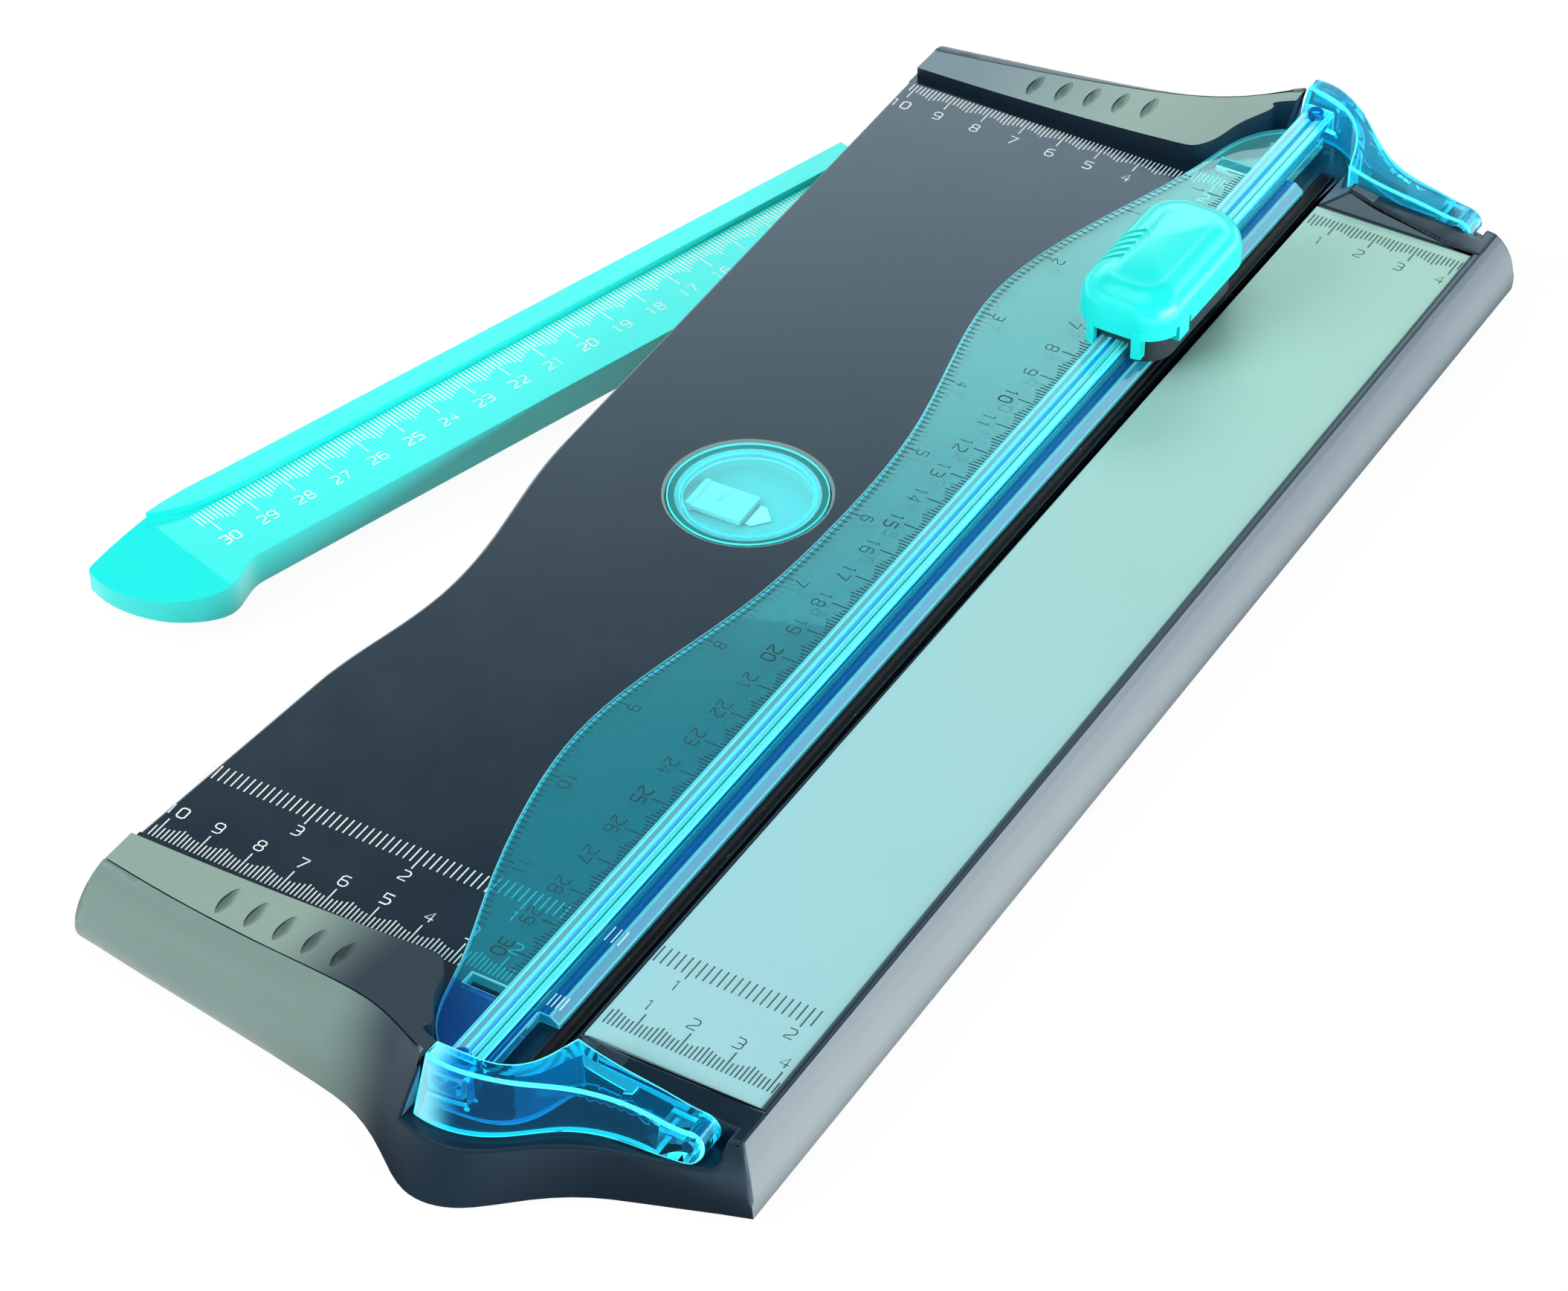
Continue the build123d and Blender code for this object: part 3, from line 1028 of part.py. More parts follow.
spare_plane = Plane(
    origin=(SPARE[0], SPARE[1], CUP_FLOOR_Z),
    x_dir=(cos(radians(SPARE_TURN)), sin(radians(SPARE_TURN)), 0),
    z_dir=(0, 0, 1),
)
SPARE_HALF = (CEILING_Z - HOLDER_Z) / 2
with BuildPart() as spare_blade_holder:
    with BuildSketch(spare_plane.offset(BLADE_THICK)):
        Rectangle(2 * SPARE_HALF, 2 * HOLDER_HALF)
    extrude(amount=HOLDER_THICK)
    with BuildSketch(spare_plane):
        with Locations((-SPARE_HALF + HOLDER_EDGE_TALL / 2, 0)):
            Rectangle(HOLDER_EDGE_TALL, 2 * HOLDER_HALF)
    extrude(amount=HOLDER_EDGE)
    with BuildSketch(spare_plane.offset(BLADE_THICK + HOLDER_THICK)):
        with Locations((-SPARE_HALF + SPARE_BOSS, 0)):
            Circle(BOSS_R)
    extrude(amount=SPARE_BOSS_LONG)
spare_blade_holder.part.label = "spare_blade_holder"
export_step(spare_blade_holder.part, "parts/spare_blade_holder.step")

with BuildPart() as spare_blade:
    with BuildSketch(spare_plane):
        with Locations((SPARE_HALF - BLADE_TIP_Z + HOLDER_Z - BLADE_SLOPE - SPARE_SEAT, 0)):
            Polygon(
                (BLADE_TALL - BLADE_SLOPE, 0),
                (BLADE_SLOPE - SPARE_TIP, BLADE_HALF),
                (-BLADE_SLOPE, BLADE_HALF),
                (-BLADE_SLOPE, -BLADE_HALF),
                (BLADE_SLOPE - SPARE_TIP, -BLADE_HALF),
                align=None,
            )
    extrude(amount=BLADE_THICK)
spare_blade.part.label = "spare_blade"
export_step(spare_blade.part, "parts/spare_blade.step")

ruler_plane = Plane(
    origin=(PIVOT[0], PIVOT[1], 0),
    x_dir=(cos(radians(RULER_TURN)), sin(radians(RULER_TURN)), 0),
    z_dir=(0, 0, 1),
)
ruler_side = Plane(
    origin=(PIVOT[0], PIVOT[1], 0),
    x_dir=(cos(radians(RULER_TURN)), sin(radians(RULER_TURN)), 0),
    z_dir=(sin(radians(RULER_TURN)), -cos(radians(RULER_TURN)), 0),
)
with BuildPart() as swing_arm:
    with BuildSketch(ruler_plane.offset(RULER_Z)):
        Circle(RULER_NEAR_V)
        Polygon(
            (0, -RULER_NEAR_V),
            (RIDGE_U, -RULER_NEAR_V),
            (RIDGE_U, RULER_NEAR_V),
            (0, RULER_NEAR_V),
            align=None,
        )
        with BuildLine():
            Line((RIDGE_U, RULER_NEAR_V), (RIDGE_U, RIDGE_V[0]))
            Line((RIDGE_U, RIDGE_V[0]), (TIP_U, RIDGE_V[0]))
            Spline((TIP_U, RIDGE_V[0]), *TIP_BACK)
            ThreePointArc(TIP_BACK[-1], TIP_CORNER, TIP[0])
            Spline(*TIP, (TIP_HEEL_U, RULER_NEAR_V))
            Line((TIP_HEEL_U, RULER_NEAR_V), (RIDGE_U, RULER_NEAR_V))
        make_face()
    extrude(amount=SCALE_Z - RULER_Z)
    # Raised back edge
    with BuildSketch(ruler_plane.offset(SCALE_Z)):
        with BuildLine():
            Polyline(
                RIDGE_END[0],
                (RIDGE_U, RIDGE_V[1]),
                (RIDGE_U, RIDGE_V[0]),
                (TIP_U, RIDGE_V[0]),
            )
            Spline((TIP_U, RIDGE_V[0]), TIP_BACK[0], RIDGE_END[-1])
            Spline(*RIDGE_END[::-1])
        make_face()
    extrude(amount=RIDGE_Z - SCALE_Z)
    # Tip slopes down
    with BuildSketch(ruler_side):
        Polygon(
            (RAMP_U[0], SCALE_Z),
            (RAMP_U[1], SCALE_Z - RAMP_DROP),
            (RAMP_U[1], HIGH),
            (RAMP_U[0], HIGH),
            align=None,
        )
    extrude(amount=HIGH, both=True, mode=Mode.SUBTRACT)
    # Hollow underside between cross ribs
    bay_long = (TIP_HEEL_U - RIDGE_U - RULER_WALL) / RULER_RIB_COUNT
    with BuildSketch(ruler_plane.offset(RULER_Z)):
        for n in range(RULER_RIB_COUNT):
            low = RIDGE_U + RULER_WALL + n * bay_long
            Polygon(
                (low, RIDGE_V[0] + RULER_WALL),
                (low + bay_long - RULER_WALL, RIDGE_V[0] + RULER_WALL),
                (low + bay_long - RULER_WALL, RULER_NEAR_V - RULER_WALL),
                (low, RULER_NEAR_V - RULER_WALL),
                align=None,
            )
    extrude(amount=SCALE_Z - RULER_Z - RULER_WALL, mode=Mode.SUBTRACT)
    # Bore on the pivot boss
    with BuildSketch(ruler_plane):
        Circle(PIVOT_R + RUN)
    extrude(amount=HIGH, mode=Mode.SUBTRACT)
swing_arm.part.label = "swing_arm"
export_step(swing_arm.part, "parts/swing_arm.step")

with BuildPart() as pivot_washer:
    with BuildSketch(Plane.XY.offset(RULER_Z - HUB_BOTTOM - WASHER_THICK)):
        with Locations(PIVOT):
            Circle(WASHER_R)
            Circle(SCREW_R + SEAT, mode=Mode.SUBTRACT)
    extrude(amount=WASHER_THICK)
pivot_washer.part.label = "pivot_washer"
export_step(pivot_washer.part, "parts/pivot_washer.step")

with BuildPart() as pivot_screw:
    head_z = RULER_Z - HUB_BOTTOM - WASHER_THICK
    with BuildSketch(Plane.XY.offset(head_z - SCREW_HEAD)):
        with Locations(PIVOT):
            Circle(SCREW_HEAD_R)
    extrude(amount=SCREW_HEAD)
    with BuildSketch(Plane.XY.offset(head_z)):
        with Locations(PIVOT):
            Circle(SCREW_R)
    extrude(amount=SCREW_LONG)
pivot_screw.part.label = "pivot_screw"
export_step(pivot_screw.part, "parts/pivot_screw.step")

with BuildPart() as bottom_cover:
    with BuildSketch(Plane.XY.offset(FOOT_DROP)):
        with Locations(((COVER_PLATE_X[0] + COVER_PLATE_X[1]) / 2, 0)):
            Rectangle(COVER_PLATE_X[1] - COVER_PLATE_X[0], 2 * COVER_PLATE_Y)
        with Locations(*POSTS):
            Circle(SCREW_R + SEAT, mode=Mode.SUBTRACT)
    extrude(amount=COVER_PLATE)
    with BuildSketch(Plane.XY.offset(FOOT_DROP)):
        with Locations(*POSTS):
            Circle(SCREW_HEAD_R + SEAT)
        with Locations(*PLATE_FEET):
            Circle(FOOT_R + SEAT)
    extrude(amount=FOOT_THICK - FOOT_DROP, mode=Mode.SUBTRACT)
bottom_cover.part.label = "bottom_cover"
export_step(bottom_cover.part, "parts/bottom_cover.step")

with BuildPart() as cover_screws:
    with BuildSketch(Plane.XY.offset(FOOT_DROP)):
        with Locations(*POSTS):
            Circle(SCREW_HEAD_R)
    extrude(amount=FOOT_THICK - FOOT_DROP)
    with BuildSketch(Plane.XY.offset(FOOT_THICK)):
        with Locations(*POSTS):
            Circle(SCREW_R)
    extrude(amount=SCREW_LONG)
cover_screws.part.label = "cover_screws"
export_step(cover_screws.part, "parts/cover_screws.step")

with BuildPart() as rubber_feet:
    with BuildSketch(Plane.XY):
        with Locations(*END_FEET, *PLATE_FEET):
            Circle(FOOT_R)
    extrude(amount=FOOT_THICK)
rubber_feet.part.label = "rubber_feet"
export_step(rubber_feet.part, "parts/rubber_feet.step")
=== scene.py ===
"""Looks of a desk paper trimmer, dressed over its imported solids.

Metres, in the solids' own frame: X across the cut with the pale panel at +X, Y along the cut with
the front at -Y, Z up from the desk.
"""

import json
import math

import bmesh
import bpy
from bpy.props import FloatProperty, FloatVectorProperty, IntProperty, PointerProperty
from mathutils import Matrix, Vector


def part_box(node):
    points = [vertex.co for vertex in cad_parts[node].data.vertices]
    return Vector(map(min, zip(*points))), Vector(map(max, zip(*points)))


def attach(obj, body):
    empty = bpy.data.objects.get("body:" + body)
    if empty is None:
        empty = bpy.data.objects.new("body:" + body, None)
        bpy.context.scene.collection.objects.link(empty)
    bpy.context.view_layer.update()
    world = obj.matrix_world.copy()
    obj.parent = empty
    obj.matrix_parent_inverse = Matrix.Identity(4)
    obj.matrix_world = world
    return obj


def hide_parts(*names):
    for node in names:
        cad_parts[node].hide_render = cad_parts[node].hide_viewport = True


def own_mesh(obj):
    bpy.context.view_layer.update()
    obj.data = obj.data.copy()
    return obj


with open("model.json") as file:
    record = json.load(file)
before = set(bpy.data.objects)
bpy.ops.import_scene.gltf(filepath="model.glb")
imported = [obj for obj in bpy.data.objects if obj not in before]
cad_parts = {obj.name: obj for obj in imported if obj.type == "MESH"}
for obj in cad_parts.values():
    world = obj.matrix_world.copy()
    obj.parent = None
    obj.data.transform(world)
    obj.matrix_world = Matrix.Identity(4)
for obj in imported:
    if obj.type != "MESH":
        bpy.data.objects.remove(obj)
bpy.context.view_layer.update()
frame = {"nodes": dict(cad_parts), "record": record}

bl_info = {
    "name": "Paper Trimmer",
    "version": (1, 0, 0),
    "blender": (4, 5, 0),
    "location": "3D View > Sidebar > Trimmer",
    "description": "Dresses a desk paper trimmer with its plastics, printed scales and studio",
    "category": "Object",
}

MM = 0.001
INCH = 25.4
BODY_OF = {n: b for b, nodes in frame["record"]["behaviour"]["bodies"].items() for n in nodes}

# Meshes: the welding distance in metres, and the angles below which faces are one, above which edges
# are rolled and above which they are shaded sharp
WELD = 2e-6
FLAT = math.radians(0.15)
HARD = math.radians(32.0)
SHARP = math.radians(31.0)

# Share of a face's normal that looks up: level, nearly level, a top, a rim and hardly at all
LEVEL, NEARLY_LEVEL, TOP, RIM, HARDLY_UP = 0.99, 0.95, 0.5, 0.4, 0.3
# Share that looks right on the side wall, and left on the ends of the arms
RIGHTWARD, LEFTWARD = 0.9, 0.7

# Lengths from here to the camera are millimetres. Heights that prints lie on
DECK_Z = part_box("side_panel")[1].z / MM
PLATE_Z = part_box("hold_down_plate")[1].z / MM

# Base: its front end, the seams around the grip covers, how high its outer edges start, and how far
# over the deck a level face still belongs to it
FRONT_Y = 145.0
SEAM_Y = 150.0
SEAM_END_X = -19.0
ROLLED_Z = 5.0
DECK_SLACK = 0.2

# First and last place of a turn in tone that paints light and shade: along Y for the far end, then along X
# for the painted shade on the front skirt and the grips
FAR_PAINTED_TURN = (-150.0, 150.0)
SKIRT_SHADE_TURN = (-42.0, -22.0)
FRONT_GRIP_SHADE_TURN = (-63.0, -36.0)
FAR_GRIP_SHADE_TURN = (-95.0, -45.0)
# The same for the painted light on the arms, from their left end
PAINTED_LIGHT_TURN = (2.5, 10.0)

# Plate and rail: where the plate's painted shadow starts at its near end, the reach of its wavy edge, and
# half of the rail's groove
PLATE_SHADOW_Y = 158.0
WAVE_X = -18.0
GROOVE_HALF = 0.8

# Cap: the rings of its dome as shares of its outline, and its rise. Blade: the width and the height
# of its ground edge
DOME_SHARES = (0.85, 0.7, 0.55, 0.4, 0.25, 0.1)
DOME_RISE = 0.9
EDGE_GROUND = 0.15
EDGE_TALL = 2.0

# Lengths of the bars of a centimetre scale, from one centimetre to the next
CM_BARS = (5.8, 3.1, 3.2, 3.5, 3.9, 4.4, 3.9, 3.5, 3.2, 3.1)
# Parts of an inch that have a bar, and the weight of every fifth number
INCH_STEPS = 16
BOLD = 1.15

# Marks of each scale: millimetres, numbered centimetres, parts of an inch and numbered inches
DECK_MARKS = (range(17, 102), range(2, 11), range(11, 65), range(1, 4))
PANEL_MARKS = (range(4, 42), range(1, 5), range(11, 34), range(1, 3))
PLATE_MARKS = (range(0, 306), range(1, 31), range(4, 188), range(1, 12))
RULER_MARKS = (range(118, 303), range(12, 31))

# Scales across the deck and the panel. At each end: the feet of the bars along Y, which way they
# run and the numbers along Y. For inches: the feet, the length, what a whole inch adds, the numbers
DECK_CM = ((-152.5, 1, -144.0), (152.3, -1, 143.5))
PANEL_CM = ((-151.3, 1, -143.1), (152.4, -1, 143.7))
PANEL_NUMBER_X = -0.8
DECK_INCH = (-132.8, 4.2, 1.7, -136.7)
PANEL_INCH = (-132.4, 4.6, 1.2, -136.0)
PANEL_INCH_X = 11.3
PANEL_INCH_NUMBER_X = 10.8

# Scales on the plate: the zero along Y, the bars and numbers at the rail, those off the wavy edge
CUT_ZERO_Y = 153.75
RAIL_BARS_X = -12.6
RAIL_BARS_LONG = 1.15
RAIL_NUMBERS_X = -21.7
WAVE_BARS = 0.5
WAVE_BAR, WAVE_WHOLE_BAR = 1.8, 2.9
WAVE_NUMBERS = 5.2
# Two groups of pale strokes beside the rail: count, pitch, foot along Y and length
STROKES_X = -2.9
STROKES = ((4, 0.95, -155.4, 3.6), (3, 1.5, -135.0, 4.2))

# Ruler: pivot, direction at rest and height of its scale
PIVOT = (-82.5, 143.85)
RULER_TURN = math.radians(253.25)
RULER_Z = 11.8
# The scale's zero from the pivot, along and across, and its bars and numbers across
RULER_ZERO = (82.5, 2.4)
RULER_BARS = -8.3
RULER_BARS_LONG = 1.42
RULER_NUMBERS = 3.1

# Strokes of the digits on a field one wide and TALL high, and the pitch of digits
TALL = 1.5
CUT = 0.24
MID = TALL / 2
DIGIT_PITCH = 1.45
DIGITS = {
    "0": [[(CUT, 0), (1 - CUT, 0), (1, CUT), (1, TALL - CUT), (1 - CUT, TALL), (CUT, TALL),
           (0, TALL - CUT), (0, CUT), (CUT, 0)]],
    "1": [[(0.2, TALL - 0.2), (0.5, TALL), (0.5, 0)]],
    "2": [[(0, TALL), (1 - CUT, TALL), (1, TALL - CUT), (1, MID + 0.14), (0.9, MID), (0.1, CUT + 0.06),
           (0, 0.14), (0, 0), (1, 0)]],
    "3": [[(0, TALL), (1 - CUT, TALL), (1, TALL - CUT), (1, MID + CUT / 2), (0.88, MID), (0.3, MID)],
          [(0.88, MID), (1, MID - CUT / 2), (1, CUT), (1 - CUT, 0), (0, 0)]],
    "4": [[(0.72, 0), (0.72, TALL), (0, 0.5), (1, 0.5)]],
    "5": [[(1, TALL), (0, TALL), (0, MID + 0.1), (1 - CUT, MID + 0.1), (1, MID - 0.14), (1, CUT),
           (1 - CUT, 0), (0, 0)]],
    "6": [[(0.9, TALL), (CUT, TALL), (0, TALL - CUT), (0, CUT), (CUT, 0), (1 - CUT, 0), (1, CUT),
           (1, MID - CUT / 2), (1 - CUT, MID + 0.08), (0, MID + 0.08)]],
    "7": [[(0, TALL), (1, TALL), (0.94, TALL - 0.2), (0.35, 0)]],
    "8": [[(CUT, MID), (0.06, MID + CUT), (0.06, TALL - CUT), (CUT, TALL), (1 - CUT, TALL),
           (0.94, TALL - CUT), (0.94, MID + CUT), (1 - CUT, MID), (CUT, MID), (0, MID - CUT), (0, CUT),
           (CUT, 0), (1 - CUT, 0), (1, CUT), (1, MID - CUT), (1 - CUT, MID)]],
}
DIGITS["9"] = [[(1 - x, TALL - y) for x, y in DIGITS["6"][0]]]

# Light that a clear plastic lets through to what is under it
BLUE_THROUGH = (0.45, 0.80, 0.95)
EDGE_THROUGH = (0.45, 0.85, 0.95)
BAND_THROUGH = (0.6, 0.9, 0.95)
GROOVE_THROUGH = (0.5, 0.85, 0.95)
BRIGHT_THROUGH = (0.5, 0.9, 0.95)
SHADOW_BAND_THROUGH = (0.3, 0.6, 0.9)
TEAL_THROUGH = (0.72, 0.92, 0.94)
WINDOW_THROUGH = (0.75, 0.94, 0.98)
WHITE = (1.0, 1.0, 1.0)

# How strongly clear plastic bends light, how clear it stays under the painted light at the arms' left end,
# and the mat's worn flecks
CLEAR_IOR = 1.49
PAINTED_LIGHT_CLARITY = 0.3
WORN_TONE = (0.35, 0.37, 0.38)
WORN_FROM, WORN_TO = 0.71, 0.78

# Camera's axes, and its sensor in millimetres
CAMERA_RIGHT = (0.85902, 0.51192, -0.00465)
CAMERA_DOWN = (0.32804, -0.55739, -0.76270)
SENSOR = 36.0

# Lamps: setting, size, place and target in metres, and whether gloss sees it
LAMPS = {
    "overhead": ("key", (1.1, 1.1), (-0.3, -0.2, 1.3), (0.0, 0.0, 0.0), True),
    "front_left": ("front", (0.9, 0.7), (-0.85, -1.2, 0.8), (-0.05, -0.1, 0.0), False),
    "panel_side": ("side", (1.2, 0.4), (1.3, 0.0, 0.25), (0.0, 0.0, 0.0), True),
    "far_end": ("back", (1.4, 0.7), (-0.75, 1.45, 0.95), (0.0, 0.1, 0.0), False),
}

# Floor: half its size in metres, its tone, how bright and how large a share the white on it is
FLOOR_HALF = 4.0
FLOOR_TONE = (0.45, 0.45, 0.45)
FLOOR_WHITE = 1.1
WHITE_SHARE = 0.86
# Gloss sees cards on it: where they start and are full along X in metres, their share of the setting
RIGHT_CARD_X = (0.046, 0.056)
LEFT_CARD_X = (-0.075, -0.02)
RIGHT_CARD, LEFT_CARD, NO_CARD = 1.3, 0.5, 0.1

# Room that gloss sees: directions where it starts and ends to glow and to dim, and its plain levels
GLOW_Y = (0.1, 0.6)
GLOW_Z = (0.30, 0.50)
DIM_Z = (0.50, 0.67)
SIDE_LEVEL, FOOT_LEVEL = 0.9, 0.7
ROOM_TINT = (0.82, 0.95, 1.0)

# Finishes that have been made, by name
FINISHES = {}


def colour(name, words, default):
    """A colour that a user may change."""
    return FloatVectorProperty(
        name=name, description=words, subtype="COLOR", size=3, min=0.0, max=1.0, default=default
    )


def length(name, words, millimetres):
    """A length that a user may change."""
    return FloatProperty(
        name=name, description=words, default=millimetres * MM, min=0.0, unit="LENGTH", precision=5
    )


def power(name, words, watts):
    """A lamp's power that a user may change."""
    return FloatProperty(name=name, description=words, default=watts, min=0.0, unit="POWER")


def level(name, words, default, most):
    """A brightness that a user may change."""
    return FloatProperty(
        name=name, description=words, default=default, min=0.0, max=most, subtype="FACTOR"
    )


class TrimmerFinish(bpy.types.PropertyGroup):
    """Colours of the trimmer's plastics, inks and metals."""

    slate: colour("Slate", "Smooth deck of the base", (0.007, 0.017, 0.029))
    satin: colour("Satin", "Near end of the base's walls", (0.20, 0.235, 0.250))
    # Painted shade: the base's walls darken toward the far end
    satin_far: colour("Satin, far", "Far end of the base's walls", (0.085, 0.115, 0.135))
    # Front skirt: a painted highlight lifts this tone on the left, and painted shade turns it to slate
    # toward the right
    front: colour("Front", "Left of the base's front skirt", (0.200, 0.285, 0.255))
    # Grip: the lit tone of the covers' tops, which painted shade darkens at the front cover's right and the
    # far cover's left
    grip: colour("Grip", "Pale part of the grip covers", (0.270, 0.370, 0.320))
    # Painted shade: the far cover is darker and bluer at its left end
    grip_left: colour("Grip, left", "Left end of the far grip cover", (0.140, 0.200, 0.220))
    sheen: colour("Sheen", "Tint of the gloss on the base", (0.60, 0.84, 1.0))
    under: colour("Underside", "Plate that closes the underside", (0.030, 0.036, 0.042))
    panel: colour("Panel", "Near end of the pale panel beside the cut", (0.33, 0.62, 0.645))
    # Painted light: the pale panel turns greener toward the far end
    panel_far: colour("Far panel", "Far end of the pale panel", (0.36, 0.62, 0.53))
    mat: colour("Mat", "Cutting mat", (0.006, 0.007, 0.009))
    cyan: colour("Cyan", "Swing-out ruler and slider cap", (0.012, 0.86, 0.80))
    tray: colour("Tray", "Tray under the round window", (0.020, 0.54, 0.46))
    clear_blue: colour("Clear blue", "Rail and arms", (0.015, 0.42, 0.66))
    # Painted glow: the rolled edges of the rail, pegs, arms and window glow in this tone, though they are
    # no lamp
    blue_edge: colour("Blue edge", "Edges of the rail and arms, where light gathers", (0.08, 0.88, 0.98))
    # Painted light: the arms' left end turns pale and less clear
    milk: colour("Milk", "Left end of the arms", (0.42, 0.90, 0.94))
    # Painted light: pale on the rail's left top and on the arms' left end faces
    pale_band: colour("Pale band", "Left top of the rail", (0.32, 0.84, 0.90))
    # Painted light: the groove's slopes get their own paler blue
    groove: colour("Groove", "Groove along the rail", (0.05, 0.56, 0.86))
    # Painted highlight: the rail's right top is a brighter cyan
    bright_band: colour("Bright band", "Right top of the rail", (0.12, 0.95, 0.96))
    # Painted shadow: dark blue on the plate beside the rail and at its near end
    deep_band: colour("Deep band", "Plate between the rail and the cut", (0.03, 0.20, 0.66))
    # Painted light: the plate's sloped right edge gets its own blue
    facet: colour("Facet", "Sloped right edge of the plate", (0.02, 0.37, 0.57))
    clear_teal: colour("Clear teal", "Near end of the hold-down plate", (0.085, 0.56, 0.66))
    # Painted light: the clear plate turns paler toward the far end
    teal_far: colour("Far teal", "Far end of the hold-down plate", (0.27, 0.82, 0.78))
    # Painted light: the far arm is a paler blue than the front arm, of the same plastic
    far_blue: colour("Far blue", "Arm at the far end", (0.06, 0.58, 0.74))
    # Painted highlight: the plate's rolled edges are a brighter cyan
    teal_edge: colour("Teal edge", "Edges of the hold-down plate", (0.20, 0.84, 0.92))
    window: colour("Window", "Round window", (0.34, 0.80, 0.90))
    dark: colour("Carriage", "Slider's carriage", (0.022, 0.032, 0.042))
    mint: colour("Mint", "Cutter cartridges", (0.40, 0.80, 0.68))
    steel: colour("Steel", "Pins, screws and blades", (0.60, 0.61, 0.63))
    rubber: colour("Rubber", "Feet", (0.012, 0.012, 0.013))
    pale_ink: colour("Pale ink", "Scales on the base and the ruler", (0.86, 0.90, 0.86))
    dark_ink: colour("Dark ink", "Scales on the panel and the plate", (0.020, 0.050, 0.065))


class TrimmerSizes(bpy.types.PropertyGroup):
    """Sizes of the rolled edges and of the prints."""

    roll: length("Edge roll", "Radius of the base's outer edges", 0.7)
    fine_roll: length("Fine edge roll", "Radius on small pieces", 0.3)
    ink: length("Ink height", "Thickness of a printed bar", 0.12)
    bar: length("Bar width", "Width of a scale's bars", 0.26)
    stroke: length("Stroke width", "Width of a digit's strokes", 0.34)
    digit: length("Digit width", "Width of a digit on the base", 1.9)
    roll_steps: IntProperty(
        name="Roll steps", description="Faces across a rolled edge", default=4, min=1, max=6
    )


class TrimmerStudio(bpy.types.PropertyGroup):
    """Camera, lamps and what gloss sees."""

    camera: FloatVectorProperty(
        name="Camera", description="Where the camera stands", subtype="TRANSLATION", unit="LENGTH",
        default=(0.37623, -0.70324, 0.67233),
    )
    lens: FloatProperty(name="Lens", description="Focal length", default=113.59, unit="CAMERA")
    key: power("Key", "Lamp overhead", 5.0)
    side: power("Side", "Lamp at the panel's side", 18.0)
    front: power("Front", "Lamp at the front left", 18.0)
    back: power("Back", "Lamp behind the far end", 11.0)
    around: level("Around", "Light from all round", 0.26, 2.0)
    dim: level("Dim", "What gloss sees overhead", 0.05, 1.0)
    card: level("Card", "What gloss sees on the floor beside the base", 3.2, 8.0)
    glow: level("Glow", "What gloss sees halfway up at the far end", 4.8, 8.0)


def put(tree, kind, links=None, **values):
    """Adds a shader node, sets its fields and sockets, and links the sockets that have a source."""
    made = tree.nodes.new("ShaderNode" + kind)
    for key, value in values.items():
        name = key.replace("_", " ")
        if name in made.inputs:
            made.inputs[name].default_value = value
        else:
            setattr(made, key, value)
    for key, source in (links or {}).items():
        tree.links.new(source, made.inputs[key])
    return made


def ranged(tree, source, low, high, step=None):
    """A value that runs from low to high, each a number or a socket: evenly, or in a smooth step."""
    made = put(tree, "MapRange", {"Value": source})
    if step:
        made.interpolation_type = "SMOOTHSTEP"
        made.inputs["From Min"].default_value, made.inputs["From Max"].default_value = step
    for name, limit in (("To Min", low), ("To Max", high)):
        if isinstance(limit, bpy.types.NodeSocket):
            tree.links.new(limit, made.inputs[name])
        else:
            made.inputs[name].default_value = limit
    return made.outputs["Result"]


def brightest(tree, *sources):
    """The largest of several values."""
    most = sources[0]
    for source in sources[1:]:
        most = put(tree, "Math", {0: most, 1: source}, operation="MAXIMUM").outputs[0]
    return most


def rgba(tone):
    """A colour with full opacity."""
    return (*tone, 1.0)


def blended(tree, share, first, second):
    """A colour between two, by a share."""
    made = put(tree, "Mix", {0: share}, data_type="RGBA")
    made.inputs[6].default_value = rgba(first)
    made.inputs[7].default_value = rgba(second)
    return made.outputs[2]


def bumped(tree, height, strength, depth):
    """A normal from a height, with the depth in millimetres."""
    bump = put(tree, "Bump", {"Height": height}, Strength=strength, Distance=depth * MM)
    return bump.outputs["Normal"]


def begin(name):
    """A new material's tree and its Object coordinates."""
    material = bpy.data.materials.new(name)
    material.use_nodes = True
    tree = material.node_tree
    tree.nodes.clear()
    return material, tree, put(tree, "TexCoord").outputs["Object"]


def end(material, tree, links, **values):
    """Ends a material in one shader."""
    shader = put(tree, "BsdfPrincipled", links, **values)
    put(tree, "OutputMaterial", {"Surface": shader.outputs["BSDF"]})
    return material


def toned(tree, place, tone, scale, drift, far_painted_tone=None, turn=None):
    """A colour that drifts slowly in brightness over the surface, and may turn to another along it.

    A turn is its first and last place along X, in millimetres, and the tone that it ends in. A far painted
    tone is reached at the far end. Both lay painted light and painted shade into the colour of one plastic.
    """
    axis = "X" if turn else "Y"
    first, last, other = turn or (*FAR_PAINTED_TURN, far_painted_tone)
    slow = put(tree, "TexNoise", {"Vector": place}, Scale=scale, Detail=3.0, Roughness=0.55)
    value = ranged(tree, slow.outputs["Fac"], 1.0 - drift, 1.0 + drift)
    hue = put(tree, "HueSaturation", {"Value": value}, Color=rgba(tone))
    if other is not None:
        along = put(tree, "SeparateXYZ", {"Vector": place}).outputs[axis]
        share = ranged(tree, along, 0.0, 1.0, (first * MM, last * MM))
        tree.links.new(blended(tree, share, tone, other), hue.inputs["Color"])
    return hue.outputs["Color"]


def varied(tree, place, scale, low, high):
    """A number that varies between two values over the surface."""
    noise = put(tree, "TexNoise", {"Vector": place}, Scale=scale, Detail=4.0, Roughness=0.6)
    return ranged(tree, noise.outputs["Fac"], low, high)


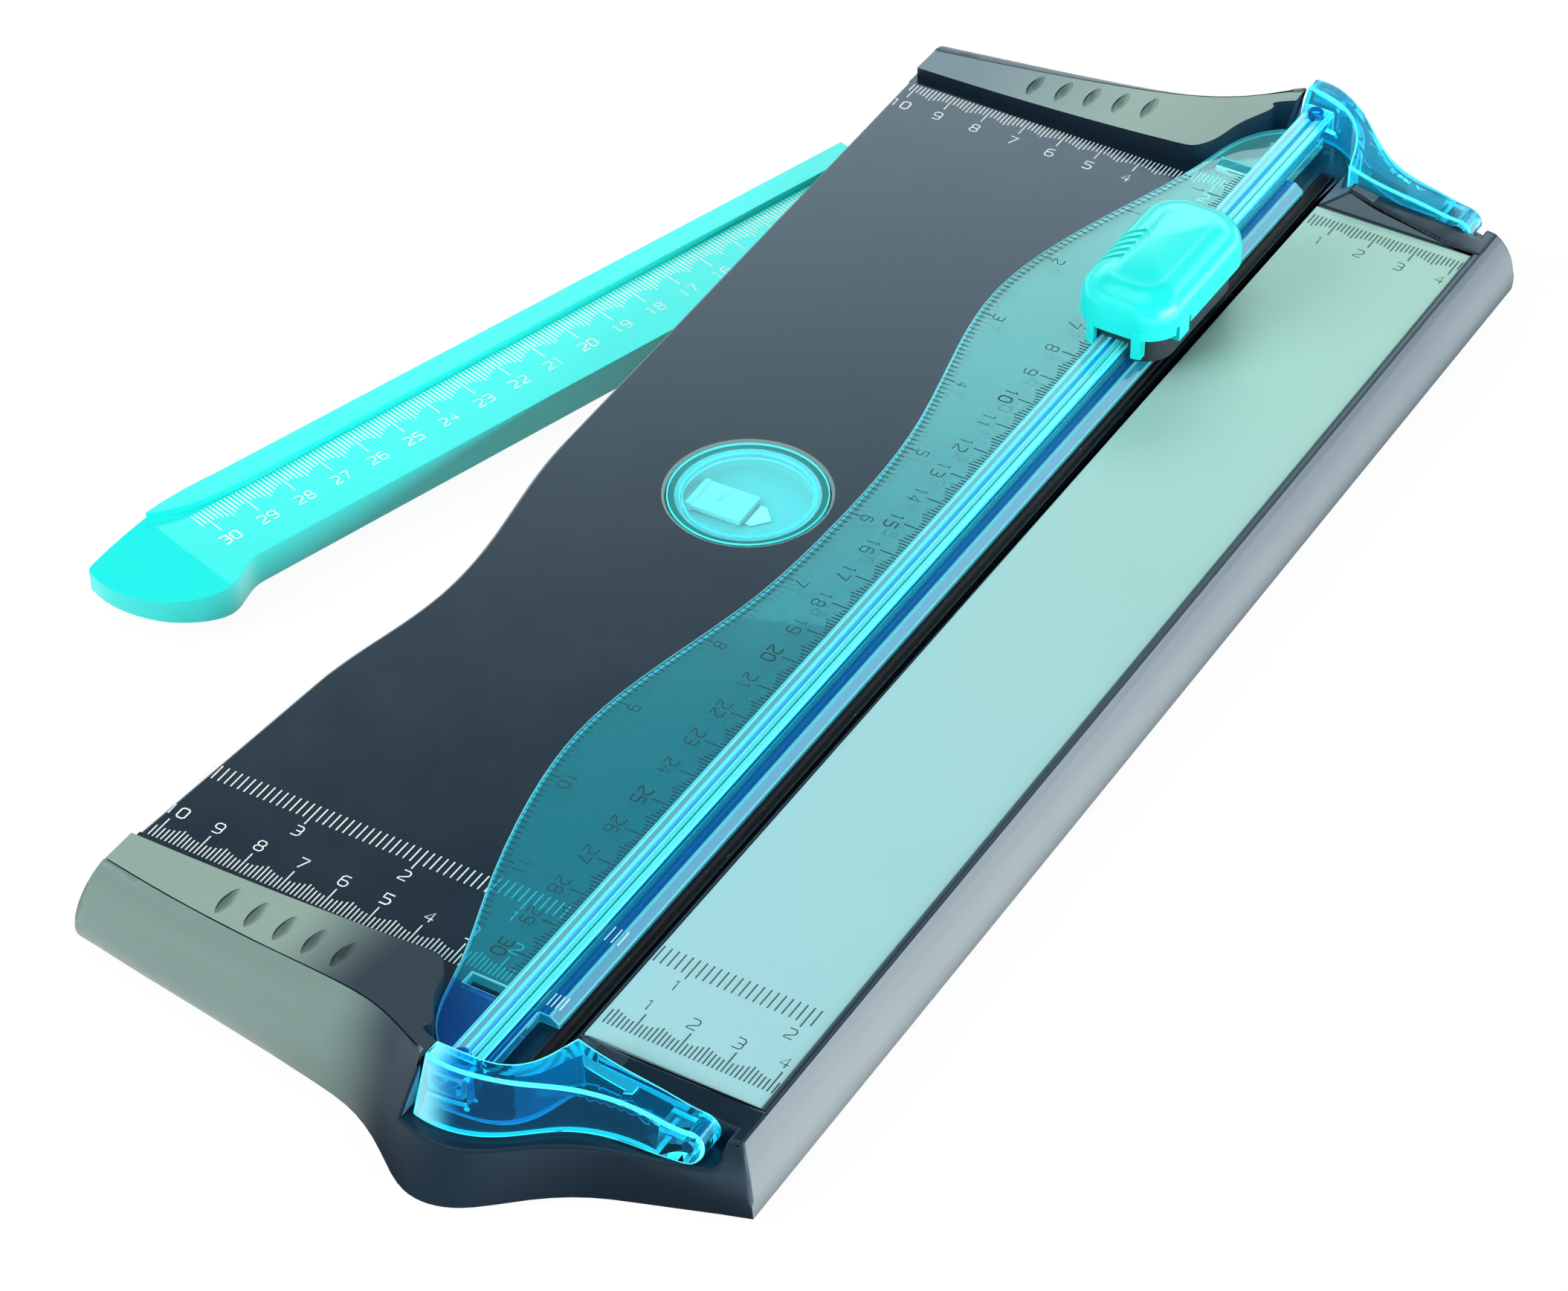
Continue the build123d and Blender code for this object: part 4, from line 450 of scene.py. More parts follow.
def moulded(name, tone, rough, grain=2600.0, depth=0.03, drift=0.10, tint=WHITE, far_painted_tone=None,
            turn=None, gloss=0.5):
    """Moulded plastic: fine grain, and a slow drift in tone and gloss."""
    material, tree, place = begin(name)
    fine = put(tree, "TexNoise", {"Vector": place}, Scale=grain, Detail=2.0, Roughness=0.5)
    links = {
        "Base Color": toned(tree, place, tone, scale=18.0, drift=drift, far_painted_tone=far_painted_tone, turn=turn),
        "Roughness": varied(tree, place, scale=60.0, low=rough - 0.05, high=rough + 0.05),
        "Normal": bumped(tree, fine.outputs["Fac"], strength=0.5, depth=depth),
    }
    return end(material, tree, links, Specular_Tint=rgba(tint), Specular_IOR_Level=gloss)


def clear(name, tone, through, rough=0.03, clouded=1.0, painted_glow=0.0, painted_light_end=None, far_painted_tone=None):
    """Clear tinted plastic that lets lamp light through, with faint flow marks along the piece.

    A painted light end is where along X, in metres, the plastic turns from a pale, less clear painted light
    to clear, and the tone of that painted light.
    """
    material, tree, place = begin(name)
    along = put(tree, "Mapping", {"Vector": place}, Scale=(120.0, 10.0, 120.0))
    flow = put(tree, "TexNoise", {"Vector": along.outputs["Vector"]}, Scale=1.0, Detail=2.0)
    links = {
        "Roughness": varied(tree, place, scale=90.0, low=rough * 0.6, high=rough * 1.6),
        "Normal": bumped(tree, flow.outputs["Fac"], strength=0.05, depth=0.04),
    }
    if painted_light_end:
        first, last, milk = painted_light_end
        across = put(tree, "SeparateXYZ", {"Vector": place}).outputs["X"]
        share = ranged(tree, across, 0.0, 1.0, (first, last))
        links["Base Color"] = blended(tree, share, milk, tone)
        links["Transmission Weight"] = ranged(tree, share, PAINTED_LIGHT_CLARITY, clouded)
    else:
        links["Base Color"] = toned(tree, place, tone, scale=30.0, drift=0.05, far_painted_tone=far_painted_tone)
    glass = put(
        tree,
        "BsdfPrincipled",
        links,
        IOR=CLEAR_IOR,
        Transmission_Weight=clouded,
        # Painted glow: the tone glows by this strength, though the plastic is no lamp
        Emission_Color=rgba(tone),
        Emission_Strength=painted_glow,
    )
    lamp = put(tree, "BsdfTransparent", Color=rgba(through))
    path = put(tree, "LightPath")
    mix = put(
        tree,
        "MixShader",
        {0: path.outputs["Is Shadow Ray"], 1: glass.outputs["BSDF"], 2: lamp.outputs["BSDF"]},
    )
    put(tree, "OutputMaterial", {"Surface": mix.outputs["Shader"]})
    return material


def metal(name, tone, rough, run):
    """Ground or turned steel, with fine lines across the run."""
    material, tree, place = begin(name)
    across = put(tree, "Mapping", {"Vector": place}, Scale=run)
    lines = put(tree, "TexNoise", {"Vector": across.outputs["Vector"]}, Scale=1.0, Detail=3.0)
    links = {
        "Base Color": toned(tree, place, tone, scale=120.0, drift=0.08),
        "Roughness": varied(tree, place, scale=300.0, low=rough - 0.06, high=rough + 0.08),
        "Normal": bumped(tree, lines.outputs["Fac"], strength=0.3, depth=0.02),
    }
    return end(material, tree, links, Metallic=1.0)


def scored_mat(name, tone):
    """Black cutting mat with bright flecks where the blade has scored it."""
    material, tree, place = begin(name)
    along = put(tree, "Mapping", {"Vector": place}, Scale=(2600.0, 420.0, 2600.0))
    flecks = put(tree, "TexNoise", {"Vector": along.outputs["Vector"]}, Scale=1.0, Detail=3.0)
    worn = put(tree, "MapRange", {"Value": flecks.outputs["Fac"]}, From_Min=WORN_FROM, From_Max=WORN_TO)
    links = {
        "Base Color": blended(tree, worn.outputs["Result"], tone, WORN_TONE),
        "Roughness": varied(tree, place, scale=500.0, low=0.28, high=0.5),
        "Normal": bumped(tree, flecks.outputs["Fac"], strength=0.5, depth=0.05),
    }
    return end(material, tree, links, Specular_IOR_Level=0.15)


def ink(name, tone):
    """Printed ink, with slight thin places."""
    material, tree, place = begin(name)
    links = {
        "Base Color": toned(tree, place, tone, scale=900.0, drift=0.12),
        "Roughness": varied(tree, place, scale=700.0, low=0.4, high=0.6),
    }
    return end(material, tree, links, Specular_IOR_Level=0.15)


def milky_left():
    """Where the arms turn from painted light to clear at their left end, in metres, and the tone of that
    painted light.
    """
    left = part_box("front_arm")[0].x
    first, last = (left + spot * MM for spot in PAINTED_LIGHT_TURN)
    return first, last, bpy.context.scene.trimmer_finish.milk


def finish(name):
    """A finish by name, made the first time that it is asked for."""
    if name not in FINISHES:
        tones = bpy.context.scene.trimmer_finish
        satin = {"depth": 0.02, "tint": tones.sheen}
        makers = {
            "slate": lambda: moulded("slate_plastic", tones.slate, 0.19, depth=0.012, tint=tones.sheen),
            # Satin walls, with painted shade darkening them toward the far end
            "satin": lambda: moulded("satin_plastic", tones.satin, 0.42, far_painted_tone=tones.satin_far, **satin),
            # Walls of the grip covers: the deck's slate as painted shade
            "wall": lambda: moulded("wall_plastic", tones.slate, 0.45, **satin),
            # Front skirt: painted highlight in its tone, and painted shade turning it to slate along X
            "front_satin_painted_shade": lambda: moulded(
                "front_plastic", tones.front, 0.42, turn=(*SKIRT_SHADE_TURN, tones.slate), **satin
            ),
            # Front grip cover: painted shade turns its pale top to slate toward the right
            "front_grip": lambda: moulded(
                "front_grip_plastic", tones.grip, 0.36, turn=(*FRONT_GRIP_SHADE_TURN, tones.slate), gloss=0.15,
                **satin
            ),
            # Far grip cover: painted shade at its left end, turning to the pale grip tone toward the right
            "grip": lambda: moulded(
                "grip_plastic", tones.grip_left, 0.36, turn=(*FAR_GRIP_SHADE_TURN, tones.grip), **satin
            ),
            "under": lambda: moulded("under_plastic", tones.under, 0.55, grain=1400.0, depth=0.05),
            # Pale panel, with painted light turning it greener toward the far end
            "panel": lambda: moulded(
                "pale_panel", tones.panel, 0.42, depth=0.015, drift=0.04, far_painted_tone=tones.panel_far
            ),
            "mat": lambda: scored_mat("mat_rubber", tones.mat),
            "cyan": lambda: moulded("cyan_plastic", tones.cyan, 0.25, depth=0.012, drift=0.05),
            "tray": lambda: moulded("tray_plastic", tones.tray, 0.30, depth=0.015, drift=0.06),
            "dark": lambda: moulded("dark_plastic", tones.dark, 0.38),
            "mint": lambda: moulded("mint_plastic", tones.mint, 0.40, drift=0.05),
            "rubber": lambda: moulded("foot_rubber", tones.rubber, 0.72, grain=1800.0, depth=0.06),
            "blue": lambda: clear("blue_clear", tones.clear_blue, BLUE_THROUGH, 0.02, 0.95),
            "arm": lambda: clear(
                "arm_clear", tones.clear_blue, BLUE_THROUGH, 0.02, 0.95, painted_light_end=milky_left()
            ),
            # Far arm, paler as painted light
            "far_arm": lambda: clear("far_arm_clear", tones.far_blue, BLUE_THROUGH, 0.02, 0.82),
            "blue_edge": lambda: clear("blue_edge", tones.blue_edge, EDGE_THROUGH, 0.15, 0.3, 0.35),
            "pale_band": lambda: clear("pale_band", tones.pale_band, BAND_THROUGH, 0.04, 0.6),
            "groove": lambda: clear("groove", tones.groove, GROOVE_THROUGH, 0.05, 0.45),
            "bright_band": lambda: clear("bright_band", tones.bright_band, BRIGHT_THROUGH, 0.12, 0.25),
            "deep_band": lambda: clear("deep_band", tones.deep_band, SHADOW_BAND_THROUGH, 0.02, 0.8),
            "facet": lambda: clear("facet", tones.facet, GROOVE_THROUGH, 0.1, 0.45),
            # Clear plate, with painted light turning it paler toward the far end
            "teal": lambda: clear(
                "teal_clear", tones.clear_teal, TEAL_THROUGH, 0.01, 0.84, far_painted_tone=tones.teal_far
            ),
            "teal_edge": lambda: clear("teal_edge", tones.teal_edge, BAND_THROUGH, 0.15, 0.4),
            "window": lambda: clear("window_clear", tones.window, WINDOW_THROUGH),
            "steel": lambda: metal("pin_steel", tones.steel, 0.26, (900.0, 900.0, 90.0)),
            "spring": lambda: metal("spring_steel", tones.steel, 0.30, (600.0, 600.0, 600.0)),
            "blade": lambda: metal("blade_steel", tones.steel, 0.18, (300.0, 2400.0, 300.0)),
            "pale_ink": lambda: ink("pale_ink", tones.pale_ink),
            "dark_ink": lambda: ink("dark_ink", tones.dark_ink),
        }
        FINISHES[name] = makers[name]()
    return FINISHES[name]


def joined(node):
    """A solid's mesh with its loose triangles joined and its flat faces made whole."""
    bm = bmesh.new()
    bm.from_mesh(frame["nodes"][node].data)
    bmesh.ops.remove_doubles(bm, verts=bm.verts, dist=WELD)
    bmesh.ops.dissolve_limit(bm, angle_limit=FLAT, verts=bm.verts, edges=bm.edges)
    return bm


def roll_edges(bm, radius, steps, index, clamped=True, rims=True, keep=None):
    """Rolls the hard outer edges, and gives the rolled faces a material index.

    A clamped roll is as small all over as its tightest place needs. Without rims, an edge between
    two faces that both look up stays crisp. A keep says, from its middle in millimetres, whether
    an edge is rolled.
    """
    bm.normal_update()
    hard = [e for e in bm.edges if e.is_manifold and e.is_convex and e.calc_face_angle(0.0) > HARD]
    if keep:
        hard = [e for e in hard if keep((e.verts[0].co + e.verts[1].co) / (2 * MM))]
    if not rims:
        hard = [e for e in hard if min(face.normal.z for face in e.link_faces) < RIM]
    rolled = bmesh.ops.bevel(
        bm, geom=hard, offset=radius, offset_type="OFFSET", affect="EDGES", segments=steps, profile=0.5,
        material=-1, clamp_overlap=clamped, loop_slide=True,
    )
    for face in rolled["faces"]:
        face.material_index = index


def piece(name, bm, body, finishes, nodes=(), even=True):
    """An object from a bmesh that rides on a body and may stand for nodes."""
    mesh = bpy.data.meshes.new(name)
    for face in bm.faces:
        face.smooth = True
    bm.to_mesh(mesh)
    bm.free()
    mesh.set_sharp_from_angle(angle=SHARP)
    for made in finishes:
        mesh.materials.append(finish(made))
    made = bpy.data.objects.new(name, mesh)
    bpy.context.scene.collection.objects.link(made)
    if even:
        weighted = made.modifiers.new("Even shading", "WEIGHTED_NORMAL")
        weighted.keep_sharp = True
    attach(made, body)
    if nodes:
        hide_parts(*nodes)
    return made


def raise_dome(bm):
    """Raises the largest top face in smaller and smaller rings, so that it is domed."""
    bm.normal_update()
    top = max(bm.faces, key=lambda face: face.normal.z * face.calc_area())
    outline = [v.co.copy() for v in top.verts]
    centre = sum(outline, Vector()) / len(outline)
    for share in DOME_SHARES:
        top = bmesh.ops.extrude_discrete_faces(bm, faces=[top])["faces"][0]
        for vert, spot in zip(top.verts, outline):
            vert.co = centre.lerp(spot, share)
            vert.co.z += DOME_RISE * MM * (1.0 - share * share)
    bmesh.ops.poke(bm, faces=[top], center_mode="MEAN")


def dressed(node, name, slot, finishes, radius, zone=None, cuts=(), domed=False, **rolling):
    """A copy of a solid with rolled edges, which stands for it.

    A zone gives each face the index of its finish; the rolled edges take the last finish. Cuts split
    faces along planes first, so that a zone can end there.
    """
    bm = joined(node)
    for spot, across in cuts:
        every = [*bm.verts, *bm.edges, *bm.faces]
        bmesh.ops.bisect_plane(bm, geom=every, plane_co=Vector(spot) * MM, plane_no=across)
    if zone:
        bm.normal_update()
        for face in bm.faces:
            face.material_index = zone(face.calc_center_median() / MM, face.normal)
    if radius:
        steps = rolling.pop("steps", bpy.context.scene.trimmer_sizes.roll_steps)
        roll_edges(bm, radius, steps, len(finishes) - 1, **rolling)
    if domed:
        raise_dome(bm)
    return piece(name, bm, BODY_OF[node], finishes, (node,), not domed)


def bar(bm, foot, out, long, wide, tall):
    """A printed bar from its foot, in millimetres, running along a direction in the plane."""
    run = Vector((out[0], out[1], 0.0))
    centre = Vector(foot) + run * long / 2
    turn = Matrix.Rotation(math.atan2(out[1], out[0]), 4, "Z")
    size = Matrix.Diagonal((long * MM, wide, tall, 1.0))
    bmesh.ops.create_cube(bm, size=1.0, matrix=Matrix.Translation(centre * MM) @ turn @ size)


def print_bars(name, body, ink_name, bars):
    """One piece from many printed bars: foot, direction, length and width factor of each."""
    sizes = bpy.context.scene.trimmer_sizes
    bm = bmesh.new()
    for foot, out, long, factor in bars:
        bar(bm, foot, out, long, sizes.bar * factor, sizes.ink)
    return piece(name, bm, body, [ink_name])


def print_numbers(name, body, ink_name, height, numbers):
    """One piece from many numbers: text, centre, reading direction, up, size and weight of each."""
    sizes = bpy.context.scene.trimmer_sizes
    curve = bpy.data.curves.new(name, "CURVE")
    curve.dimensions = "3D"
    curve.bevel_depth = sizes.stroke / 2
    curve.bevel_resolution = 0
    curve.use_fill_caps = True
    for text, centre, read, up, size, weight in numbers:
        read, up = Vector(read), Vector(up)
        wide = (len(text) - 1) * DIGIT_PITCH + 1.0
        for n, digit in enumerate(text):
            for stroke in DIGITS[digit]:
                spline = curve.splines.new("POLY")
                spline.points.add(len(stroke) - 1)
                for point, (x, y) in zip(spline.points, stroke):
                    flat = read * (x + DIGIT_PITCH * n - wide / 2) + up * (y - TALL / 2)
                    spot = Vector(centre) * MM + flat * sizes.digit * size
                    point.co = (spot.x, spot.y, 0.0, 1.0)
                    point.radius = weight
    drawn = bpy.data.objects.new(name, curve)
    bpy.context.scene.collection.objects.link(drawn)
    bpy.context.view_layer.update()
    mesh = bpy.data.meshes.new_from_object(drawn.evaluated_get(bpy.context.evaluated_depsgraph_get()))
    bpy.data.objects.remove(drawn)
    bpy.data.curves.remove(curve)
    bm = bmesh.new()
    bm.from_mesh(mesh)
    bpy.data.meshes.remove(mesh)
    bmesh.ops.scale(bm, vec=(1.0, 1.0, sizes.ink / sizes.stroke), verts=bm.verts)
    bmesh.ops.translate(bm, vec=(0.0, 0.0, height * MM), verts=bm.verts)
    return piece(name, bm, body, [ink_name])


def bold(n, plain):
    """The weight of a number on a scale."""
    return BOLD if n % 5 == 0 else plain


class TRIMMER_OT_base(bpy.types.Operator):
    """Base shell, grip covers, pale panel and cutting mat."""

    bl_idname = "trimmer.base"
    bl_label = "Base"

    def execute(self, context):
        sizes = context.scene.trimmer_sizes

        def on_base(centre, normal):
            """Smooth deck, recesses and flat rims, the satin walls, or the front end."""
            if normal.z > LEVEL and (centre.z < DECK_Z + DECK_SLACK or centre.x > SEAM_END_X):
                return 0
            # Front end faces take index 2, the front skirt with its painted highlight and painted shade
            return 2 if centre.y < -FRONT_Y and normal.x < RIGHTWARD else 1

        def on_cover(centre, normal):
            """Pale top, or the walls that stop the paper, dark with painted shade."""
            return 0 if normal.z > TOP else 1

        def off_seam(middle):
            """Edges clear of the underside and of the seams around the grip covers."""
            return middle.z > ROLLED_Z and (abs(middle.y) < SEAM_Y or middle.x > SEAM_END_X)

        dressed("base_shell", "base_body", "slate_plastic", ["slate", "satin", "front_satin_painted_shade"], sizes.roll,
                on_base, clamped=False, keep=off_seam)
        for side, top in (("front", "front_grip"), ("rear", "grip")):
            dressed(f"{side}_grip_cover", f"{side}_grip", "grip_plastic", [top, "wall"], sizes.roll,
                    on_cover, rims=False)
        dressed("side_panel", "pale_panel", "pale_panel", ["panel"], sizes.fine_roll)
        dressed("cutting_mat", "cutting_strip", "mat_rubber", ["mat"], 0.0)
        return {"FINISHED"}


class TRIMMER_OT_underside(bpy.types.Operator):
    """Bottom cover, feet, screws and pins."""

    bl_idname = "trimmer.underside"
    bl_label = "Underside"

    def execute(self, context):
        fine = context.scene.trimmer_sizes.fine_roll
        dressed("bottom_cover", "bottom_plate", "under_plastic", ["under"], fine)
        dressed("rubber_feet", "feet", "foot_rubber", ["rubber"], fine)
        for node in ("cover_screws", "pivot_screw", "pivot_washer", "hinge_pins"):
            dressed(node, f"{node}_turned", "pin_steel", ["steel"], fine / 2)
        return {"FINISHED"}


class TRIMMER_OT_rail_frame(bpy.types.Operator):
    """Clear hold-down plate, rail, pegs and the two hinged arms."""

    bl_idname = "trimmer.rail_frame"
    bl_label = "Rail frame"

    def execute(self, context):
        fine = context.scene.trimmer_sizes.fine_roll
        low, high = (corner.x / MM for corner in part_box("slide_rail"))
        middle = (low + high) / 2

        def on_plate(centre, normal):
            """Facet at the cut in painted light, painted shadow beside the rail and at the near end, or the
            plain plate.
            """
            # Painted light on the sloped facet
            if HARDLY_UP < normal.z < NEARLY_LEVEL:
                return 2
            # Painted shadow on level faces right of the rail and at the plate's near end
            deep = centre.x > high or centre.y < -PLATE_SHADOW_Y
            return 1 if normal.z > NEARLY_LEVEL and deep else 0

        def on_rail(centre, normal):
            """Painted light on the left top, a painted highlight on the right top, the groove between them
            in painted light, or the plain rail.
            """
            if normal.z < HARDLY_UP:
                return 0
            # Painted light on the groove's slopes
            if abs(centre.x - middle) < GROOVE_HALF:
                return 3
            return 1 if centre.x < middle else 2

        def on_arm(centre, normal):
            """Left end in painted light, or the plain arm."""
            return 1 if normal.x < -LEFTWARD else 0

        plate_finishes = ["teal", "deep_band", "facet", "teal_edge"]
        cuts = [((high, 0.0, 0.0), (1.0, 0.0, 0.0)), ((0.0, -PLATE_SHADOW_Y, 0.0), (0.0, 1.0, 0.0))]
        dressed("hold_down_plate", "hold_down", "teal_clear", plate_finishes, fine, on_plate, cuts,
                clamped=False)
        rail_finishes = ["blue", "pale_band", "bright_band", "groove", "blue_edge"]
        dressed("slide_rail", "rail", "blue_clear", rail_finishes, fine, on_rail)
        dressed("rail_pegs", "pegs", "blue_clear", ["blue", "blue_edge"], fine)
        for side, plain in (("front", "arm"), ("rear", "far_arm")):
            finishes = [plain, "pale_band", "blue_edge"]
            dressed(f"{side}_arm", f"{side}_hinge_arm", "blue_clear", finishes, 2 * fine, on_arm,
                    clamped=False)
        return {"FINISHED"}


class TRIMMER_OT_slider(bpy.types.Operator):
    """Slider's cap, carriage, spring and cutter."""

    bl_idname = "trimmer.slider"
    bl_label = "Slider"

    def execute(self, context):
        fine = context.scene.trimmer_sizes.fine_roll
        dressed("slider_cap", "press_button", "cyan_plastic", ["cyan"], fine, domed=True)
        dressed("slider_carriage", "carriage", "dark_plastic", ["dark"], fine)
        dressed("blade_holder", "cutter_holder", "mint_plastic", ["mint"], fine / 2)
        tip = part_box("blade")[0].z / MM
        dressed("blade", "cutter_blade", "blade_steel", ["blade"], EDGE_GROUND * MM, steps=1,
                keep=lambda middle: middle.z < tip + EDGE_TALL)
        spring = dressed("cap_spring", "return_spring", "spring_steel", ["spring"], 0.0)
        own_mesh(spring)
        return {"FINISHED"}


class TRIMMER_OT_window(bpy.types.Operator):
    """Round window, its tray and the spare cutter."""

    bl_idname = "trimmer.window"
    bl_label = "Window"

    def execute(self, context):
        fine = context.scene.trimmer_sizes.fine_roll
        dressed("storage_cup", "spare_tray", "tray_plastic", ["tray"], fine / 2)
        dressed("storage_lid", "round_window", "window_clear", ["window", "blue_edge"], fine)
        dressed("spare_blade_holder", "spare_holder", "mint_plastic", ["mint"], fine / 2)
        dressed("spare_blade", "spare_cutter", "blade_steel", ["blade"], 0.0)
        return {"FINISHED"}


class TRIMMER_OT_ruler(bpy.types.Operator):
    """Swing-out ruler with its scale."""

    bl_idname = "trimmer.ruler"
    bl_label = "Ruler"

    def execute(self, context):
        sizes = context.scene.trimmer_sizes
        dressed("swing_arm", "ruler", "cyan_plastic", ["cyan"], sizes.roll)
        along = Vector((math.cos(RULER_TURN), math.sin(RULER_TURN), 0.0))
        base_side = Vector((-along.y, along.x, 0.0))
        pivot = Vector((PIVOT[0], PIVOT[1], RULER_Z))

        def spot(s, w):
            """Place on the scale: s along the ruler from its zero, w toward the base."""
            return pivot + along * (s - RULER_ZERO[0]) + base_side * (w - RULER_ZERO[1])

        bars, numbers = [], []
        millimetres, centimetres = RULER_MARKS
        for n in millimetres:
            long = CM_BARS[n % 10] * RULER_BARS_LONG
            bars.append((spot(n, RULER_BARS), base_side[:2], long, 1.0))
        for n in centimetres:
            centre = spot(10 * n, RULER_NUMBERS)
            numbers.append((str(n), centre, -along, -base_side, 0.95, bold(n, 0.9)))
        print_bars("ruler_bars", "ruler", "pale_ink", bars)
        print_numbers("ruler_numbers", "ruler", "pale_ink", RULER_Z, numbers)
        return {"FINISHED"}


class TRIMMER_OT_deck_scales(bpy.types.Operator):
    """Pale scales across the deck, and dark ones across the panel."""

    bl_idname = "trimmer.deck_scales"
    bl_label = "Deck scales"

    def execute(self, context):
        pale, dark, pale_numbers, dark_numbers = [], [], [], []
        read, up = (1, 0, 0), (0, 1, 0)
        step = INCH / INCH_STEPS

        def centimetre_bars(bars, ends, n, x, factor):
            """The bars of one millimetre at both ends."""
            for y, inward, _ in ends:
                bars.append(((x, y, DECK_Z), (0, inward), CM_BARS[n % 10], factor))

        def centimetre_numbers(numbers, ends, n, x, weight):
            """The numbers of one centimetre at both ends."""
            for _, _, y in ends:
                numbers.append((str(n), (x, y, 0), read, up, 1.0, weight))

        def inch_bar(bars, scale, n, x, factor):
            """The bar of one part of an inch."""
            foot, long, more, _ = scale
            whole = more if n % INCH_STEPS == 0 else 0.0
            bars.append(((x, foot - whole, DECK_Z), (0, 1), long + whole, factor))

        millimetres, centimetres, parts, inches = DECK_MARKS
        for n in millimetres:
            centimetre_bars(pale, DECK_CM, n, -n, 1.0)
        for n in centimetres:
            centimetre_numbers(pale_numbers, DECK_CM, n, -10 * n, bold(n, 0.95))
        for n in parts:
            inch_bar(pale, DECK_INCH, n, -n * step, 1.1)
        for n in inches:
            pale_numbers.append((str(n), (-n * INCH, DECK_INCH[-1], 0), read, up, 0.95, 0.95))
        millimetres, centimetres, parts, inches = PANEL_MARKS
        for n in millimetres:
            centimetre_bars(dark, PANEL_CM, n, n, 0.85)
        for n in centimetres:
            centimetre_numbers(dark_numbers, PANEL_CM, n, 10 * n + PANEL_NUMBER_X, 0.8)
        for n in parts:
            inch_bar(dark, PANEL_INCH, n, (n - INCH_STEPS) * step + PANEL_INCH_X, 0.85)
        for n in inches:
            spot = ((n - 1) * INCH + PANEL_INCH_NUMBER_X, PANEL_INCH[-1], 0)
            dark_numbers.append((str(n), spot, read, up, 0.95, 0.8))
        print_bars("deck_bars", "base", "pale_ink", pale)
        print_numbers("deck_numbers", "base", "pale_ink", DECK_Z, pale_numbers)
        print_bars("panel_bars", "base", "dark_ink", dark)
        print_numbers("panel_numbers", "base", "dark_ink", DECK_Z, dark_numbers)
        return {"FINISHED"}


def plate_edge(y):
    """Where the plate's wavy left edge is at a place along the cut, in millimetres."""
    corners = [v.co for v in frame["nodes"]["hold_down_plate"].data.vertices if v.co.x < WAVE_X * MM]
    near = sorted(corners, key=lambda co: abs(co.y - y * MM))
    low = max((c for c in near if c.y <= y * MM), key=lambda c: c.y)
    high = min((c for c in near if c.y >= y * MM), key=lambda c: c.y)
    share = 0.0 if high.y == low.y else (y * MM - low.y) / (high.y - low.y)
    return (low.x + share * (high.x - low.x)) / MM


class TRIMMER_OT_plate_scales(bpy.types.Operator):
    """Dark scales on the clear plate: centimetres at the rail, inches at the wavy edge."""

    bl_idname = "trimmer.plate_scales"
    bl_label = "Plate scales"

    def execute(self, context):
        bars, numbers, pale = [], [], []
        read, up = (0, -1, 0), (1, 0, 0)
        millimetres, centimetres, parts, inches = PLATE_MARKS
        for n in millimetres:
            long = CM_BARS[n % 10] * RAIL_BARS_LONG
            bars.append(((RAIL_BARS_X, CUT_ZERO_Y - n, PLATE_Z), (-1, 0), long, 0.8))
        for n in centimetres:
            centre = (RAIL_NUMBERS_X, CUT_ZERO_Y - 10 * n, 0)
            numbers.append((str(n), centre, read, up, 1.0, bold(n, 0.8)))
        for n in parts:
            y = CUT_ZERO_Y - n * INCH / INCH_STEPS
            long = WAVE_WHOLE_BAR if n % INCH_STEPS == 0 else WAVE_BAR
            bars.append(((plate_edge(y) + WAVE_BARS, y, PLATE_Z), (1, 0), long, 0.7))
        for n in inches:
            y = CUT_ZERO_Y - n * INCH
            numbers.append((str(n), (plate_edge(y) + WAVE_NUMBERS, y, 0), read, up, 0.9, 0.75))
        for count, pitch, foot, long in STROKES:
            for n in range(count):
                pale.append(((STROKES_X - pitch * n, foot, PLATE_Z), (0, 1), long, 0.9))
        print_bars("plate_bars", "rail_frame", "dark_ink", bars)
        print_numbers("plate_numbers", "rail_frame", "dark_ink", PLATE_Z, numbers)
        print_bars("plate_strokes", "rail_frame", "pale_ink", pale)
        return {"FINISHED"}


def aim(obj, place, target):
    """Puts a lamp at a place and turns it to a target."""
    obj.location = place
    obj.rotation_euler = (Vector(target) - Vector(place)).to_track_quat("-Z", "Y").to_euler()


